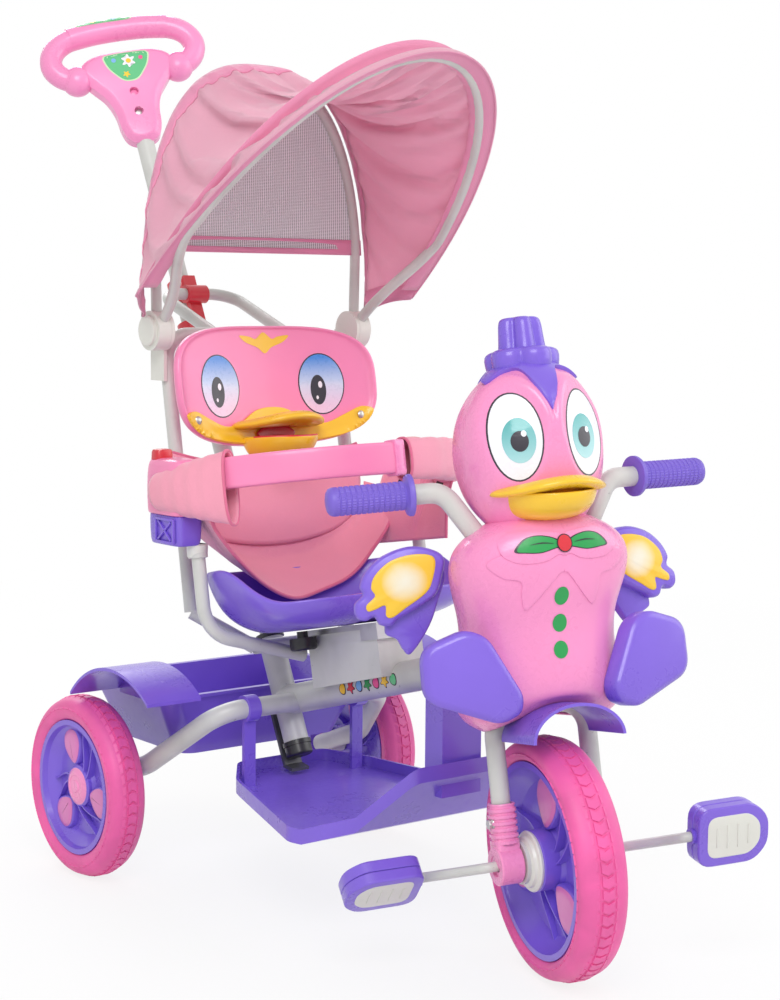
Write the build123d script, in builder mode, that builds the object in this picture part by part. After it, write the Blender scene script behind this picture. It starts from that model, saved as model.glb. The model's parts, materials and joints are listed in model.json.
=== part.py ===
from build123d import *
import os
from math import cos, radians, sin, tan

os.makedirs("parts", exist_ok=True)

# A child's tricycle with a duck figurehead, a canopy and a parent's push bar.
# Millimetres, +Z up, the trike faces -Y, +X is its left-hand side.
# Stations are lengths behind (+) or ahead (-) of the rear axle, heights are above the ground.

# ---------------------------------------------------------------- driving dimensions
REAR_AXLE_Y = 208  # the rear axle in the part's frame, whose origin is under the middle
WHEELBASE = 581

REAR_WHEEL_D = 208
REAR_TYRE_WIDTH = 44
REAR_TYRE_DEPTH = 30
REAR_TRACK = 386
REAR_AXLE_D = 10

FRONT_WHEEL_D = 240
FRONT_AXLE_HEIGHT = 120.6  # a little over the radius, because the turned wheel leans
FRONT_TYRE_WIDTH = 50
FRONT_TYRE_DEPTH = 26
CRANK_D = 10
CRANK_THROW = 61
CRANK_ANGLE = 171
PEDAL_LENGTH = 78
PEDAL_DEPTH = 60
PEDAL_THICKNESS = 24
PEDAL_INNER_X = 122

RAKE = 10
STEER_AT_REST = -17.6
STEER_MAX = 30
FORK_LEG_D = 19
FORK_SPREAD = 100
CROWN_HEIGHT = 150
STEM_D = 22
HEAD_TUBE_D = 36
HEAD_TUBE_BOTTOM = 172
HEAD_TUBE_TOP = 240
BAR_D = 20
BAR_WIDTH = 394
BAR_HEIGHT = 365
BAR_CLAMP_HEIGHT = 306
GRIP_D = 28
GRIP_LENGTH = 80

MAIN_TUBE_D = 34
MAIN_TUBE_REAR = (-126, 201)
ARCH_D = 22
ARCH_STATION = -158
ARCH_HEIGHT = 206
STAY_X = 150

POLE_D = 22
POLE_FOOT = (-144, 156)
POLE_LEAN = 25.4
POLE_AT_REST = -25
POLE_LENGTH = 800
SLEEVE_D = 29
SLEEVE_LENGTH = 124
HANDLE_WIDTH = 212
HANDLE_HEIGHT = 150
HANDLE_THICKNESS = 28

SEAT_STATION = -235
SEAT_HEIGHT = 302
SEAT_TILT = 12
SEAT_WIDTH = 290
SEAT_LENGTH = 215
SEAT_DEPTH = 75
SEAT_WALL = 5

RECLINE = 10.3
BACKREST_STATION = -84
BACKREST_MIDDLE = 562
BACKREST_WIDTH = 276
BACKREST_HEIGHT = 138
BACKREST_THICKNESS = 14
BACKREST_HOLLOW = 26
SIDE_TUBE_D = 16
SIDE_TUBE_X = 118

ARM_X = 167
ARM_STATION = -153
ARM_POST_D = 15
GUARD_REACH = 130
GUARD_HEIGHT = 34
GUARD_THICKNESS = 17

CANOPY_PIVOT = (-65, 625)
CANOPY_PIVOT_X = 130
CANOPY_RISE = 42
HOOP_D = 12
REAR_HOOP_WIDTH = 296
REAR_HOOP_HEIGHT = 296
FRONT_HOOP_WIDTH = 320
FRONT_HOOP_HEIGHT = 432
CLOTH = 4

TRAY_WALL = 3.5
BASKET_WALL = 3.5
RIM_WALL = 6

# ---------------------------------------------------------------- fits
RUNNING = 0.05  # radial clearance of a turning fit
SEATED = 0.1  # radial clearance of a fixed fit
CLEAR = 0.3  # gap between pieces that move past or rest on each other

SIDES = ((-1, "right"), (1, "left"))
STANDING = (Align.CENTER, Align.CENTER, Align.MIN)
HANGING = (Align.CENTER, Align.CENTER, Align.MAX)


# ---------------------------------------------------------------- frames of reference
def at(x, station, height):
    """A point from its place across, its station from the rear axle and its height."""
    return (x, REAR_AXLE_Y + station, height)


def on(frame, plane):
    """A plane given in a frame's own axes."""
    return Plane(frame.location * plane.location)


def leaning(station, height, angle, turn=0):
    """A frame on the mid-plane, its z axis leaning back, its x axis turned about that axis."""
    lean = radians(angle)
    swing = radians(turn)
    across = (cos(swing), sin(swing) * cos(lean), -sin(swing) * sin(lean))
    return Plane(origin=at(0, station, height), x_dir=across, z_dir=(0, sin(lean), cos(lean)))


def along(frame, distance):
    """Station and height of a point on a frame's z axis."""
    point = frame.from_local_coords((0, 0, distance))
    return (point.Y - REAR_AXLE_Y, point.Z)


SIDE_VIEW = Plane(origin=at(0, 0, 0), x_dir=(0, 1, 0), z_dir=(1, 0, 0))
PLAN = Plane(origin=at(0, 0, 0))

STEER_STRAIGHT = leaning(-WHEELBASE, FRONT_AXLE_HEIGHT, RAKE)
STEER = leaning(-WHEELBASE, FRONT_AXLE_HEIGHT, RAKE, STEER_AT_REST)
POLE_STRAIGHT = leaning(*POLE_FOOT, POLE_LEAN)
POLE = leaning(*POLE_FOOT, POLE_LEAN, POLE_AT_REST)
SEAT = leaning(SEAT_STATION, SEAT_HEIGHT, SEAT_TILT)
BACK = leaning(BACKREST_STATION, BACKREST_MIDDLE, RECLINE)


# ---------------------------------------------------------------- shapes used more than once
def rod(start, end, diameter):
    """A round bar from one point to another."""
    run = Vector(*end) - Vector(*start)
    with BuildSketch(Plane(origin=start, z_dir=run)) as section:
        Circle(diameter / 2)
    extrude(section.sketch, amount=run.length)


def bent_tube(frame, points, bend, diameter, mode=Mode.ADD):
    """A round tube along straight runs joined by arcs, its points in the frame's axes."""
    with BuildLine(frame) as path:
        FilletPolyline(*points, radius=bend)
    with BuildSketch(Plane(path.line ^ 0)) as section:
        Circle(diameter / 2)
    sweep(section.sketch, path=path.line, mode=mode)


def turned(frame, outline, mode=Mode.ADD):
    """A closed outline of (radius, height) points turned about the frame's z axis."""
    with BuildSketch(on(frame, Plane.XZ)) as section:
        with BuildLine():
            Polyline(*outline, close=True)
        make_face()
    revolve(section.sketch, axis=Axis(frame.origin, frame.z_dir), mode=mode)


def tyre(frame, diameter, depth, width):
    """A foam tyre with rounded shoulders about the frame's z axis."""
    outer = diameter / 2
    with BuildSketch(on(frame, Plane.XZ)) as section:
        with Locations((outer - depth / 2, 0)):
            tread = Rectangle(depth, width)
        fillet(tread.vertices().group_by(Axis.X)[-1], depth * 0.36)
    revolve(section.sketch, axis=Axis(frame.origin, frame.z_dir))


def wheel_rim(frame, radius, width, hub_radius, hub, bore):
    """A barrel, a web and a hub that runs from hub[0] to hub[1] along the frame's z axis."""
    barrel = radius - RIM_WALL
    web = RIM_WALL / 2
    edge = width / 2
    turned(frame, [(barrel, -edge), (radius, -edge), (radius, edge), (barrel, edge)])
    turned(frame, [(bore, -web), (radius - web, -web), (radius - web, web), (bore, web)])
    turned(frame, [(bore, hub[0]), (hub_radius, hub[0]), (hub_radius, hub[1]), (bore, hub[1])])


def wheel_frame(x, station, radius, side):
    """The frame of a wheel, its z axis pointing outward."""
    return Plane(origin=at(x, station, radius), x_dir=(0, 1, 0), z_dir=(side, 0, 0))


# ---------------------------------------------------------------- main frame
head_middle = (HEAD_TUBE_BOTTOM + HEAD_TUBE_TOP) / 2
main_front = along(STEER, head_middle - 5)

with BuildPart() as frame_main:
    rod(at(0, *MAIN_TUBE_REAR), at(0, *main_front), MAIN_TUBE_D)
    with BuildSketch(STEER_STRAIGHT.offset(HEAD_TUBE_BOTTOM)):
        Circle(HEAD_TUBE_D / 2)
    extrude(amount=HEAD_TUBE_TOP - HEAD_TUBE_BOTTOM)
    with BuildSketch(POLE_STRAIGHT):
        Circle(SLEEVE_D / 2)
    extrude(amount=SLEEVE_LENGTH)
    with BuildSketch(STEER_STRAIGHT.offset(HEAD_TUBE_BOTTOM)):
        Circle(STEM_D / 2 + RUNNING)
    extrude(amount=HEAD_TUBE_TOP - HEAD_TUBE_BOTTOM, mode=Mode.SUBTRACT)
    with BuildSketch(POLE_STRAIGHT):
        Circle(POLE_D / 2 + RUNNING)
    extrude(amount=SLEEVE_LENGTH, mode=Mode.SUBTRACT)
    with BuildSketch(SIDE_VIEW):
        with Locations((ARCH_STATION, ARCH_HEIGHT)):
            Circle(ARCH_D / 2 + SEATED)
    extrude(amount=MAIN_TUBE_D, both=True, mode=Mode.SUBTRACT)
frame_main.part.label = "frame_main"
export_step(frame_main.part, "parts/frame_main.step")

# The rear arch carries a stub axle at each end.
axle_height = REAR_WHEEL_D / 2
wheel_x = REAR_TRACK / 2
hub_inner = -REAR_TYRE_WIDTH / 2
hub_outer = 12
shoulder_x = wheel_x + hub_inner - CLEAR
stub_end_x = wheel_x + hub_outer - 1

with BuildPart() as rear_arch:
    half = [(STAY_X, 16, axle_height), (STAY_X, -66, axle_height + 31), (112, ARCH_STATION, ARCH_HEIGHT)]
    other_half = [(-x, station, height) for x, station, height in reversed(half)]
    bent_tube(PLAN, half + other_half, [40, 40, 40, 40], ARCH_D)
    for side, hand in SIDES:
        rod(at(side * STAY_X, 0, axle_height), at(side * shoulder_x, 0, axle_height), REAR_AXLE_D + 8)
        rod(at(side * shoulder_x, 0, axle_height), at(side * stub_end_x, 0, axle_height), REAR_AXLE_D)
rear_arch.part.label = "rear_arch"
export_step(rear_arch.part, "parts/rear_arch.step")

BUSHING_HEIGHT = 5
BUSHING_FLANGE = 2

with BuildPart() as pole_bushings:
    for height in (-BUSHING_HEIGHT, SLEEVE_LENGTH):
        with BuildSketch(POLE_STRAIGHT.offset(height)):
            Circle(SLEEVE_D / 2 + BUSHING_FLANGE)
            Circle(POLE_D / 2 + RUNNING, mode=Mode.SUBTRACT)
        extrude(amount=BUSHING_HEIGHT)
pole_bushings.part.label = "pole_bushings"
export_step(pole_bushings.part, "parts/pole_bushings.step")

# A spring latch on the back of the sleeve hooks under the foot of the pole.
LATCH_WIDTH = 24
LATCH_TOP = 52
LATCH_THICKNESS = 4
HOOK_DROP = 30
HOOK_REACH = 12
latch_face = SLEEVE_D / 2 + BUSHING_FLANGE + SEATED
latch_back = latch_face + LATCH_THICKNESS
hook_tip = latch_face - HOOK_REACH

with BuildPart() as pole_latch:
    with BuildSketch(on(POLE_STRAIGHT, Plane.YZ)):
        with BuildLine():
            Polyline(
                (latch_face, LATCH_TOP),
                (latch_face, 8 - HOOK_DROP),
                (hook_tip, -HOOK_DROP),
                (hook_tip + 2, -HOOK_DROP - 3),
                (latch_back, 6 - HOOK_DROP),
                (latch_back, LATCH_TOP),
                close=True,
            )
        make_face()
    extrude(amount=LATCH_WIDTH / 2, both=True)
pole_latch.part.label = "pole_latch"
export_step(pole_latch.part, "parts/pole_latch.step")

# ---------------------------------------------------------------- seat
SLIDE_HEIGHT = 6
SLIDE_NOSE = 18
SLIDE_WIDTH = 64
BRACKET_WIDTH = 60
bracket_rear = SEAT_LENGTH * 0.14
bracket_front = -SEAT_LENGTH * 0.45

with BuildPart() as seat_slide:
    with BuildSketch(on(SEAT, Plane.YZ)):
        with BuildLine():
            Polyline(
                (bracket_rear, 0),
                (bracket_front - 4, 0),
                (bracket_front - 4, -SLIDE_NOSE),
                (bracket_front + 26, -SLIDE_NOSE),
                (bracket_front + 26, -SLIDE_HEIGHT),
                (bracket_rear, -SLIDE_HEIGHT),
                close=True,
            )
        make_face()
    extrude(amount=SLIDE_WIDTH / 2, both=True)
seat_slide.part.label = "seat_slide"
export_step(seat_slide.part, "parts/seat_slide.step")

with BuildPart() as seat_bracket:
    with BuildSketch(on(SEAT, Plane.YZ)):
        with BuildLine():
            Polyline(
                (bracket_rear, -SLIDE_HEIGHT),
                (bracket_front + 26, -SLIDE_HEIGHT),
                (bracket_front + 26, -SLIDE_NOSE),
                (bracket_front, -SLIDE_NOSE),
                (bracket_front, -58),
                (bracket_rear, -64),
                close=True,
            )
        make_face()
    extrude(amount=BRACKET_WIDTH / 2, both=True)
    tube_run = Vector(*at(0, *main_front)) - Vector(*at(0, *MAIN_TUBE_REAR))
    with BuildSketch(Plane(origin=at(0, *MAIN_TUBE_REAR), z_dir=tube_run)):
        Circle(MAIN_TUBE_D / 2 + SEATED)
    extrude(amount=tube_run.length, mode=Mode.SUBTRACT)
seat_bracket.part.label = "seat_bracket"
export_step(seat_bracket.part, "parts/seat_bracket.step")

KNOB_D = 30

with BuildPart(SEAT) as seat_knob:
    with Locations((-BRACKET_WIDTH / 2 - KNOB_D / 2 - 2, bracket_rear - KNOB_D / 2, 0)):
        Cylinder(6, 8, align=HANGING)
    with Locations((-BRACKET_WIDTH / 2 - KNOB_D / 2 - 2, bracket_rear - KNOB_D / 2, -7)):
        Cylinder(KNOB_D / 2, 14, align=HANGING)
    fillet(seat_knob.edges().filter_by(GeomType.CIRCLE).sort_by(Axis.Z)[0], 4)
seat_knob.part.label = "seat_knob"
export_step(seat_knob.part, "parts/seat_knob.step")

SEAT_LIP = 26
LIP_LENGTH = 60


def side_tube_station(height):
    """Station of the backrest's side tubes at a height."""
    behind = (BACKREST_THICKNESS + SIDE_TUBE_D / 2 + CLEAR) / cos(radians(RECLINE))
    return BACKREST_STATION + behind + (height - BACKREST_MIDDLE) * tan(radians(RECLINE))


def bowl(inset, lift, mode=Mode.ADD):
    """The saddle's rounded bowl, drawn in by an inset and lifted off its floor."""
    levels = []
    for height, narrower, shorter in ((0, 100, 60), (SEAT_DEPTH / 2, 14, 8), (SEAT_DEPTH, 0, 0)):
        with BuildSketch(SEAT.offset(height + lift)) as level:
            width = SEAT_WIDTH - narrower - 2 * inset
            length = SEAT_LENGTH - shorter - 2 * inset
            RectangleRounded(width, length, length * 0.36)
        levels.append(level.sketch)
    loft(levels, mode=mode)


with BuildPart() as seat:
    bowl(0, 0)
    bowl(SEAT_WALL, SEAT_WALL, mode=Mode.SUBTRACT)
    with BuildSketch(on(SEAT, Plane.YZ)):
        with BuildLine():
            front = -SEAT_LENGTH / 2 - 5
            top = SEAT_DEPTH + 1
            Polyline((front, SEAT_LIP), (front + LIP_LENGTH, SEAT_LIP), (0, top), (front, top), close=True)
        make_face()
    extrude(amount=SEAT_WIDTH, both=True, mode=Mode.SUBTRACT)
seat.part.label = "seat"
export_step(seat.part, "parts/seat.step")

# ---------------------------------------------------------------- backrest
FOOT_BAR_X = 60
top_of_tubes = BACKREST_MIDDLE + 58
foot_of_tubes = SEAT_HEIGHT + 10
foot_bar_station = SEAT_STATION + SEAT_LENGTH / 2 - 20
foot_bar_height = SEAT_HEIGHT - 30

with BuildPart() as backrest_frame:
    bent_tube(
        PLAN,
        [
            (-SIDE_TUBE_X, side_tube_station(foot_of_tubes), foot_of_tubes),
            (-SIDE_TUBE_X, side_tube_station(top_of_tubes), top_of_tubes),
            (SIDE_TUBE_X, side_tube_station(top_of_tubes), top_of_tubes),
            (SIDE_TUBE_X, side_tube_station(foot_of_tubes), foot_of_tubes),
        ],
        30,
        SIDE_TUBE_D,
    )
    for side, hand in SIDES:
        tube_end = at(side * SIDE_TUBE_X, side_tube_station(foot_of_tubes), foot_of_tubes)
        bar_end = at(side * FOOT_BAR_X, foot_bar_station, foot_bar_height)
        rod(tube_end, bar_end, SIDE_TUBE_D)
    right_end = at(-FOOT_BAR_X, foot_bar_station, foot_bar_height)
    left_end = at(FOOT_BAR_X, foot_bar_station, foot_bar_height)
    rod(right_end, left_end, SIDE_TUBE_D)
backrest_frame.part.label = "backrest_frame"
export_step(backrest_frame.part, "parts/backrest_frame.step")

hollow_radius = ((BACKREST_WIDTH / 2) ** 2 + BACKREST_HOLLOW**2) / (2 * BACKREST_HOLLOW)

with BuildPart() as backrest:
    with BuildSketch(BACK.offset(-BACKREST_HEIGHT / 2)):
        with Locations((0, BACKREST_THICKNESS - hollow_radius)):
            Circle(hollow_radius)
            Circle(hollow_radius - BACKREST_THICKNESS, mode=Mode.SUBTRACT)
        Rectangle(2 * BACKREST_WIDTH, 4 * BACKREST_HOLLOW, mode=Mode.INTERSECT)
    extrude(amount=BACKREST_HEIGHT)
    with BuildSketch(on(BACK, Plane.XZ)):
        RectangleRounded(BACKREST_WIDTH, BACKREST_HEIGHT, 48)
    extrude(amount=80, both=True, mode=Mode.INTERSECT)
backrest.part.label = "backrest"
export_step(backrest.part, "parts/backrest.step")

BILL_WIDTH = 120

with BuildPart() as backrest_bill:
    with BuildSketch(BACK.offset(-BACKREST_HEIGHT / 2 - 18)):
        with Locations((0, -6)):
            Ellipse(BILL_WIDTH / 2, 62)
        with Locations((0, 50)):
            Rectangle(BILL_WIDTH * 2, 100, mode=Mode.SUBTRACT)
    extrude(amount=36)
    with BuildSketch(BACK.offset(-BACKREST_HEIGHT / 2 - 20)):
        with Locations((0, BACKREST_THICKNESS - hollow_radius)):
            Circle(hollow_radius + SEATED)
            Circle(hollow_radius - BACKREST_THICKNESS - SEATED, mode=Mode.SUBTRACT)
    extrude(amount=60, mode=Mode.SUBTRACT)
backrest_bill.part.label = "backrest_bill"
export_step(backrest_bill.part, "parts/backrest_bill.step")

# A stay runs back from the top of the backrest to two clips that guide the pole.
STAY_D = 14
STAY_X_TOP = 50
CLIP_HEIGHTS = (514, 549)
CLIP_LENGTHS = (10, 30)
CLIP_D = 34
stay_station, stay_height = along(POLE_STRAIGHT, CLIP_HEIGHTS[1] + CLIP_LENGTHS[1] / 2)
stay_station -= CLIP_D / 2 + STAY_D / 2 + 2
stay_foot = (side_tube_station(top_of_tubes), top_of_tubes)

with BuildPart() as pole_stay:
    right_half = [(-STAY_X_TOP, *stay_foot), (-STAY_X_TOP, stay_station, stay_height)]
    left_half = [(-x, station, height) for x, station, height in reversed(right_half)]
    bent_tube(PLAN, right_half + left_half, 30, STAY_D)
    with BuildSketch(SIDE_VIEW):
        with Locations(stay_foot):
            Circle(SIDE_TUBE_D / 2 + SEATED)
    extrude(amount=SIDE_TUBE_X, both=True, mode=Mode.SUBTRACT)
pole_stay.part.label = "pole_stay"
export_step(pole_stay.part, "parts/pole_stay.step")

with BuildPart() as pole_clips:
    for height, length in zip(CLIP_HEIGHTS, CLIP_LENGTHS):
        with BuildSketch(POLE_STRAIGHT.offset(height)):
            Circle(CLIP_D / 2)
            Circle(POLE_D / 2 + RUNNING, mode=Mode.SUBTRACT)
        extrude(amount=length)
    bridge_foot = CLIP_HEIGHTS[0]
    bridge_top = CLIP_HEIGHTS[-1] + CLIP_LENGTHS[-1]
    with BuildSketch(POLE_STRAIGHT.offset(bridge_foot)):
        with Locations((0, -CLIP_D / 2)):
            Rectangle(16, 8)
    extrude(amount=bridge_top - bridge_foot)
    with BuildSketch(SIDE_VIEW):
        with Locations((stay_station, stay_height)):
            Circle(STAY_D / 2 + 4)
    extrude(amount=14, both=True)
    with BuildSketch(SIDE_VIEW):
        with Locations((stay_station, stay_height)):
            Circle(STAY_D / 2 + SEATED)
    extrude(amount=20, both=True, mode=Mode.SUBTRACT)
    with BuildSketch(POLE_STRAIGHT.offset(bridge_foot)):
        Circle(POLE_D / 2 + RUNNING)
    extrude(amount=bridge_top - bridge_foot, mode=Mode.SUBTRACT)
pole_clips.part.label = "pole_clips"
export_step(pole_clips.part, "parts/pole_clips.step")

# ---------------------------------------------------------------- arms and guard bar
ARM_WIDTH = 42
POST_X = ARM_X - 15
COLLAR_D = ARM_POST_D + 6
ARM_LENGTH = 68
LOWER_ARM = (397, 430)
UPPER_ARM = (430, 490)
lower_arm_height = LOWER_ARM[1] - LOWER_ARM[0]
upper_arm_height = UPPER_ARM[1] - UPPER_ARM[0]

with BuildPart() as arm_posts:
    for side, hand in SIDES:
        bent_tube(
            PLAN,
            [
                (side * POST_X, ARM_STATION - 19, LOWER_ARM[0]),
                (side * POST_X, ARM_STATION - 37, SEAT_HEIGHT),
                (side * (BRACKET_WIDTH / 2 + SEATED), ARM_STATION - 47, SEAT_HEIGHT - 34),
            ],
            40,
            ARM_POST_D,
        )
        rod(
            at(side * POST_X, ARM_STATION - 19, LOWER_ARM[0]),
            at(side * POST_X, ARM_STATION - 21.5, LOWER_ARM[0] - 14),
            COLLAR_D,
        )
arm_posts.part.label = "arm_posts"
export_step(arm_posts.part, "parts/arm_posts.step")

with BuildPart(PLAN) as arm_housings_lower:
    for side, hand in SIDES:
        with Locations((side * ARM_X, ARM_STATION, LOWER_ARM[0])):
            Box(ARM_WIDTH - 4, ARM_LENGTH - 4, lower_arm_height, align=STANDING)
    fillet(arm_housings_lower.edges().filter_by(Axis.Z), 10)
arm_housings_lower.part.label = "arm_housings_lower"
export_step(arm_housings_lower.part, "parts/arm_housings_lower.step")

with BuildPart(PLAN) as arm_housings_upper:
    for side, hand in SIDES:
        with Locations((side * ARM_X, ARM_STATION, UPPER_ARM[0])):
            Box(ARM_WIDTH, ARM_LENGTH, upper_arm_height, align=STANDING)
    fillet(arm_housings_upper.edges().filter_by(Axis.Z), 12)
    fillet(arm_housings_upper.faces().sort_by(Axis.Z)[-1].edges(), 6)
arm_housings_upper.part.label = "arm_housings_upper"
export_step(arm_housings_upper.part, "parts/arm_housings_upper.step")

with BuildPart(PLAN) as release_buttons:
    for side, hand in SIDES:
        with Locations((side * (ARM_X + 6), ARM_STATION + ARM_LENGTH / 2 - 16, UPPER_ARM[1])):
            Box(22, 18, 10, align=STANDING)
    chamfer(release_buttons.edges().filter_by(Axis.Z), 5)
    chamfer(release_buttons.faces().sort_by(Axis.Z)[-1].edges(), 3)
release_buttons.part.label = "release_buttons"
export_step(release_buttons.part, "parts/release_buttons.step")

guard_station = ARM_STATION - ARM_LENGTH / 2 - SEATED
guard_radius = (ARM_X**2 + GUARD_REACH**2) / (2 * GUARD_REACH)
guard = leaning(guard_station, UPPER_ARM[1] - GUARD_HEIGHT / 2 - 2, RECLINE)

with BuildPart() as guard_bar:
    with BuildSketch(guard):
        with Locations((0, guard_radius - GUARD_REACH)):
            Circle(guard_radius + GUARD_THICKNESS / 2)
            Circle(guard_radius - GUARD_THICKNESS / 2, mode=Mode.SUBTRACT)
        with Locations((0, GUARD_HEIGHT * 0.1)):
            Rectangle(4 * ARM_X, 4 * ARM_X, align=(Align.CENTER, Align.MIN), mode=Mode.SUBTRACT)
    extrude(amount=GUARD_HEIGHT / 2, both=True)
    fillet(guard_bar.edges().filter_by(GeomType.CIRCLE), 5)
    with BuildSketch(PLAN.offset(UPPER_ARM[0])):
        for side, hand in SIDES:
            with Locations((side * ARM_X, ARM_STATION)):
                Rectangle(2 * ARM_WIDTH, ARM_LENGTH + 2 * SEATED)
    extrude(amount=2 * upper_arm_height, mode=Mode.SUBTRACT)
guard_bar.part.label = "guard_bar"
export_step(guard_bar.part, "parts/guard_bar.step")

# The cloth liner hangs between the arms as one bucket, open to the front.
LINER_FOOT = 372
LINER_HEIGHT = 112
liner_half = SEAT_WIDTH / 2 - SEAT_WALL - 7
liner_back = side_tube_station(LINER_FOOT) - (SIDE_TUBE_D / 2 + CLEAR) / cos(radians(RECLINE))
liner = leaning(liner_back, LINER_FOOT, RECLINE)

with BuildPart() as seat_liner:
    with BuildSketch(liner):
        Rectangle(2 * liner_half, 84, align=(Align.CENTER, Align.MAX))
        with Locations((0, -2 * CLOTH)):
            Rectangle(2 * (liner_half - 2 * CLOTH), 90, align=(Align.CENTER, Align.MAX), mode=Mode.SUBTRACT)
    extrude(amount=LINER_HEIGHT)
seat_liner.part.label = "seat_liner"
export_step(seat_liner.part, "parts/seat_liner.step")

# ---------------------------------------------------------------- footrest and basket
STRAP_X = 75
STRAP_WIDTH = 15
STRAP_THICKNESS = 5
PILLAR_STATION = -425
PILLAR_WIDTH = 52
PILLAR_DEPTH = 28
PILLAR_WALL = 4
COLLAR_WALL = 4
COLLAR_LENGTH = 22
TRAY_HALF = 200
TRAY_PROFILE = ((-112, 118), (-175, 112), (-350, 104), (-400, 122), (-446, 176))
TRAY_PLAN = ((60, -112), (95, -162), (145, -335), (130, -375), (66, -446))
TRAY_RIM = 16

tray_outline = list(TRAY_PLAN) + [(-x, station) for x, station in reversed(TRAY_PLAN)]
tray_rear_floor = TRAY_PROFILE[0][1]
tray_front_floor = TRAY_PROFILE[-1][1]


def band(profile, low, high, width):
    """A strip of the given half width that follows a side profile from low to high above it."""
    under = [(station, height + low) for station, height in profile]
    over = [(station, height + high) for station, height in reversed(profile)]
    with BuildSketch(SIDE_VIEW) as section:
        with BuildLine():
            Polyline(*under, *over, close=True)
        make_face()
    extrude(section.sketch, amount=width, both=True)


def tray_shape(inset):
    """Keep what is inside the tray's plan outline, drawn in by an inset."""
    with BuildSketch(PLAN) as outline:
        with BuildLine():
            Polyline(*tray_outline, close=True)
        tray_face = make_face()
        fillet(tray_face.vertices(), 20)
        offset(amount=-inset, kind=Kind.INTERSECTION)
    extrude(outline.sketch, amount=400, mode=Mode.INTERSECT)


with BuildPart() as tray_hollow:
    band(TRAY_PROFILE, TRAY_WALL, 2 * TRAY_RIM, TRAY_HALF)
    tray_shape(TRAY_WALL)

with BuildPart() as footrest:
    band(TRAY_PROFILE, 0, TRAY_RIM, TRAY_HALF)
    tray_shape(0)
    add(tray_hollow.part, mode=Mode.SUBTRACT)
    for side, hand in SIDES:
        strap_foot = at(side * STRAP_X, ARCH_STATION, tray_rear_floor - 4)
        with BuildSketch(Plane(origin=strap_foot)):
            Rectangle(STRAP_WIDTH, STRAP_THICKNESS)
        extrude(amount=ARCH_HEIGHT - tray_rear_floor)
        with BuildSketch(SIDE_VIEW.offset(side * STRAP_X)):
            with Locations((ARCH_STATION, ARCH_HEIGHT)):
                Circle(ARCH_D / 2 + COLLAR_WALL)
        extrude(amount=STRAP_WIDTH / 2, both=True)
        with BuildSketch(SIDE_VIEW.offset(side * STRAP_X)):
            with Locations((ARCH_STATION, ARCH_HEIGHT)):
                Circle(ARCH_D / 2 + SEATED)
        extrude(amount=STRAP_WIDTH, both=True, mode=Mode.SUBTRACT)
    tube_slope = (main_front[1] - MAIN_TUBE_REAR[1]) / (main_front[0] - MAIN_TUBE_REAR[0])
    tube_over_pillar = MAIN_TUBE_REAR[1] + (PILLAR_STATION - MAIN_TUBE_REAR[0]) * tube_slope
    pillar_foot = tray_front_floor - 22
    with BuildSketch(Plane(origin=at(0, PILLAR_STATION, pillar_foot))):
        Rectangle(PILLAR_WIDTH, PILLAR_DEPTH)
        Rectangle(PILLAR_WIDTH - 2 * PILLAR_WALL, PILLAR_DEPTH - 2 * PILLAR_WALL, mode=Mode.SUBTRACT)
    extrude(amount=tube_over_pillar - pillar_foot)
    ring = Plane(origin=at(0, PILLAR_STATION, tube_over_pillar), z_dir=tube_run)
    with BuildSketch(ring):
        Circle(MAIN_TUBE_D / 2 + COLLAR_WALL)
    extrude(amount=COLLAR_LENGTH / 2, both=True)
    with BuildSketch(ring):
        Circle(MAIN_TUBE_D / 2 + SEATED)
    extrude(amount=60, both=True, mode=Mode.SUBTRACT)
footrest.part.label = "footrest"
export_step(footrest.part, "parts/footrest.step")

BASKET_RIM = 215
BASKET_FLOOR = 142
BASKET_HALF = 145
BASKET_FRONT = (-95, -76)
BASKET_REAR = (80, 74)
FENDER_INNER = BASKET_HALF + 2
FENDER_OUTER = wheel_x + REAR_TYRE_WIDTH / 2
FENDER = ((-3, 216), (-60, 251), (-172, 229))


def tub(inset, mode=Mode.ADD):
    """The basket's sloping body from floor to rim, drawn in by an inset."""
    levels = []
    for height, half, front, rear in (
        (BASKET_FLOOR + inset, BASKET_HALF - 35, BASKET_FRONT[1], BASKET_REAR[1]),
        (BASKET_RIM + inset / 10, BASKET_HALF, BASKET_FRONT[0], BASKET_REAR[0]),
    ):
        with BuildSketch(PLAN.offset(height)) as level:
            with Locations((0, (front + rear) / 2)):
                RectangleRounded(2 * (half - inset), rear - front - 2 * inset, 20)
        levels.append(level.sketch)
    loft(levels, mode=mode)


with BuildPart() as rear_basket:
    tub(0)
    with BuildSketch(PLAN.offset(BASKET_RIM - BASKET_WALL)):
        with Locations((0, (BASKET_FRONT[0] + BASKET_REAR[0]) / 2)):
            RectangleRounded(2 * FENDER_INNER + 4, BASKET_REAR[0] - BASKET_FRONT[0] + 8, 22)
    extrude(amount=BASKET_WALL)
    tub(BASKET_WALL, mode=Mode.SUBTRACT)
    for side, hand in SIDES:
        low, crest, front = FENDER
        with BuildSketch(SIDE_VIEW.offset(side * FENDER_INNER)):
            with BuildLine():
                upper = ThreePointArc(low, crest, front)
                lower = ThreePointArc(*[(station, height - BASKET_WALL) for station, height in FENDER])
                Line(upper @ 0, lower @ 0)
                Line(upper @ 1, lower @ 1)
            make_face()
        extrude(amount=side * (FENDER_OUTER - FENDER_INNER))
        with BuildSketch(SIDE_VIEW.offset(side * FENDER_INNER)):
            with BuildLine():
                upper = ThreePointArc(low, crest, front)
                under_rim = BASKET_RIM - 2 * BASKET_WALL
                Polyline(upper @ 0, (low[0], under_rim), (BASKET_FRONT[0], under_rim), upper @ 1)
            make_face()
        extrude(amount=side * BASKET_WALL)
rear_basket.part.label = "rear_basket"
export_step(rear_basket.part, "parts/rear_basket.step")

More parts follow.
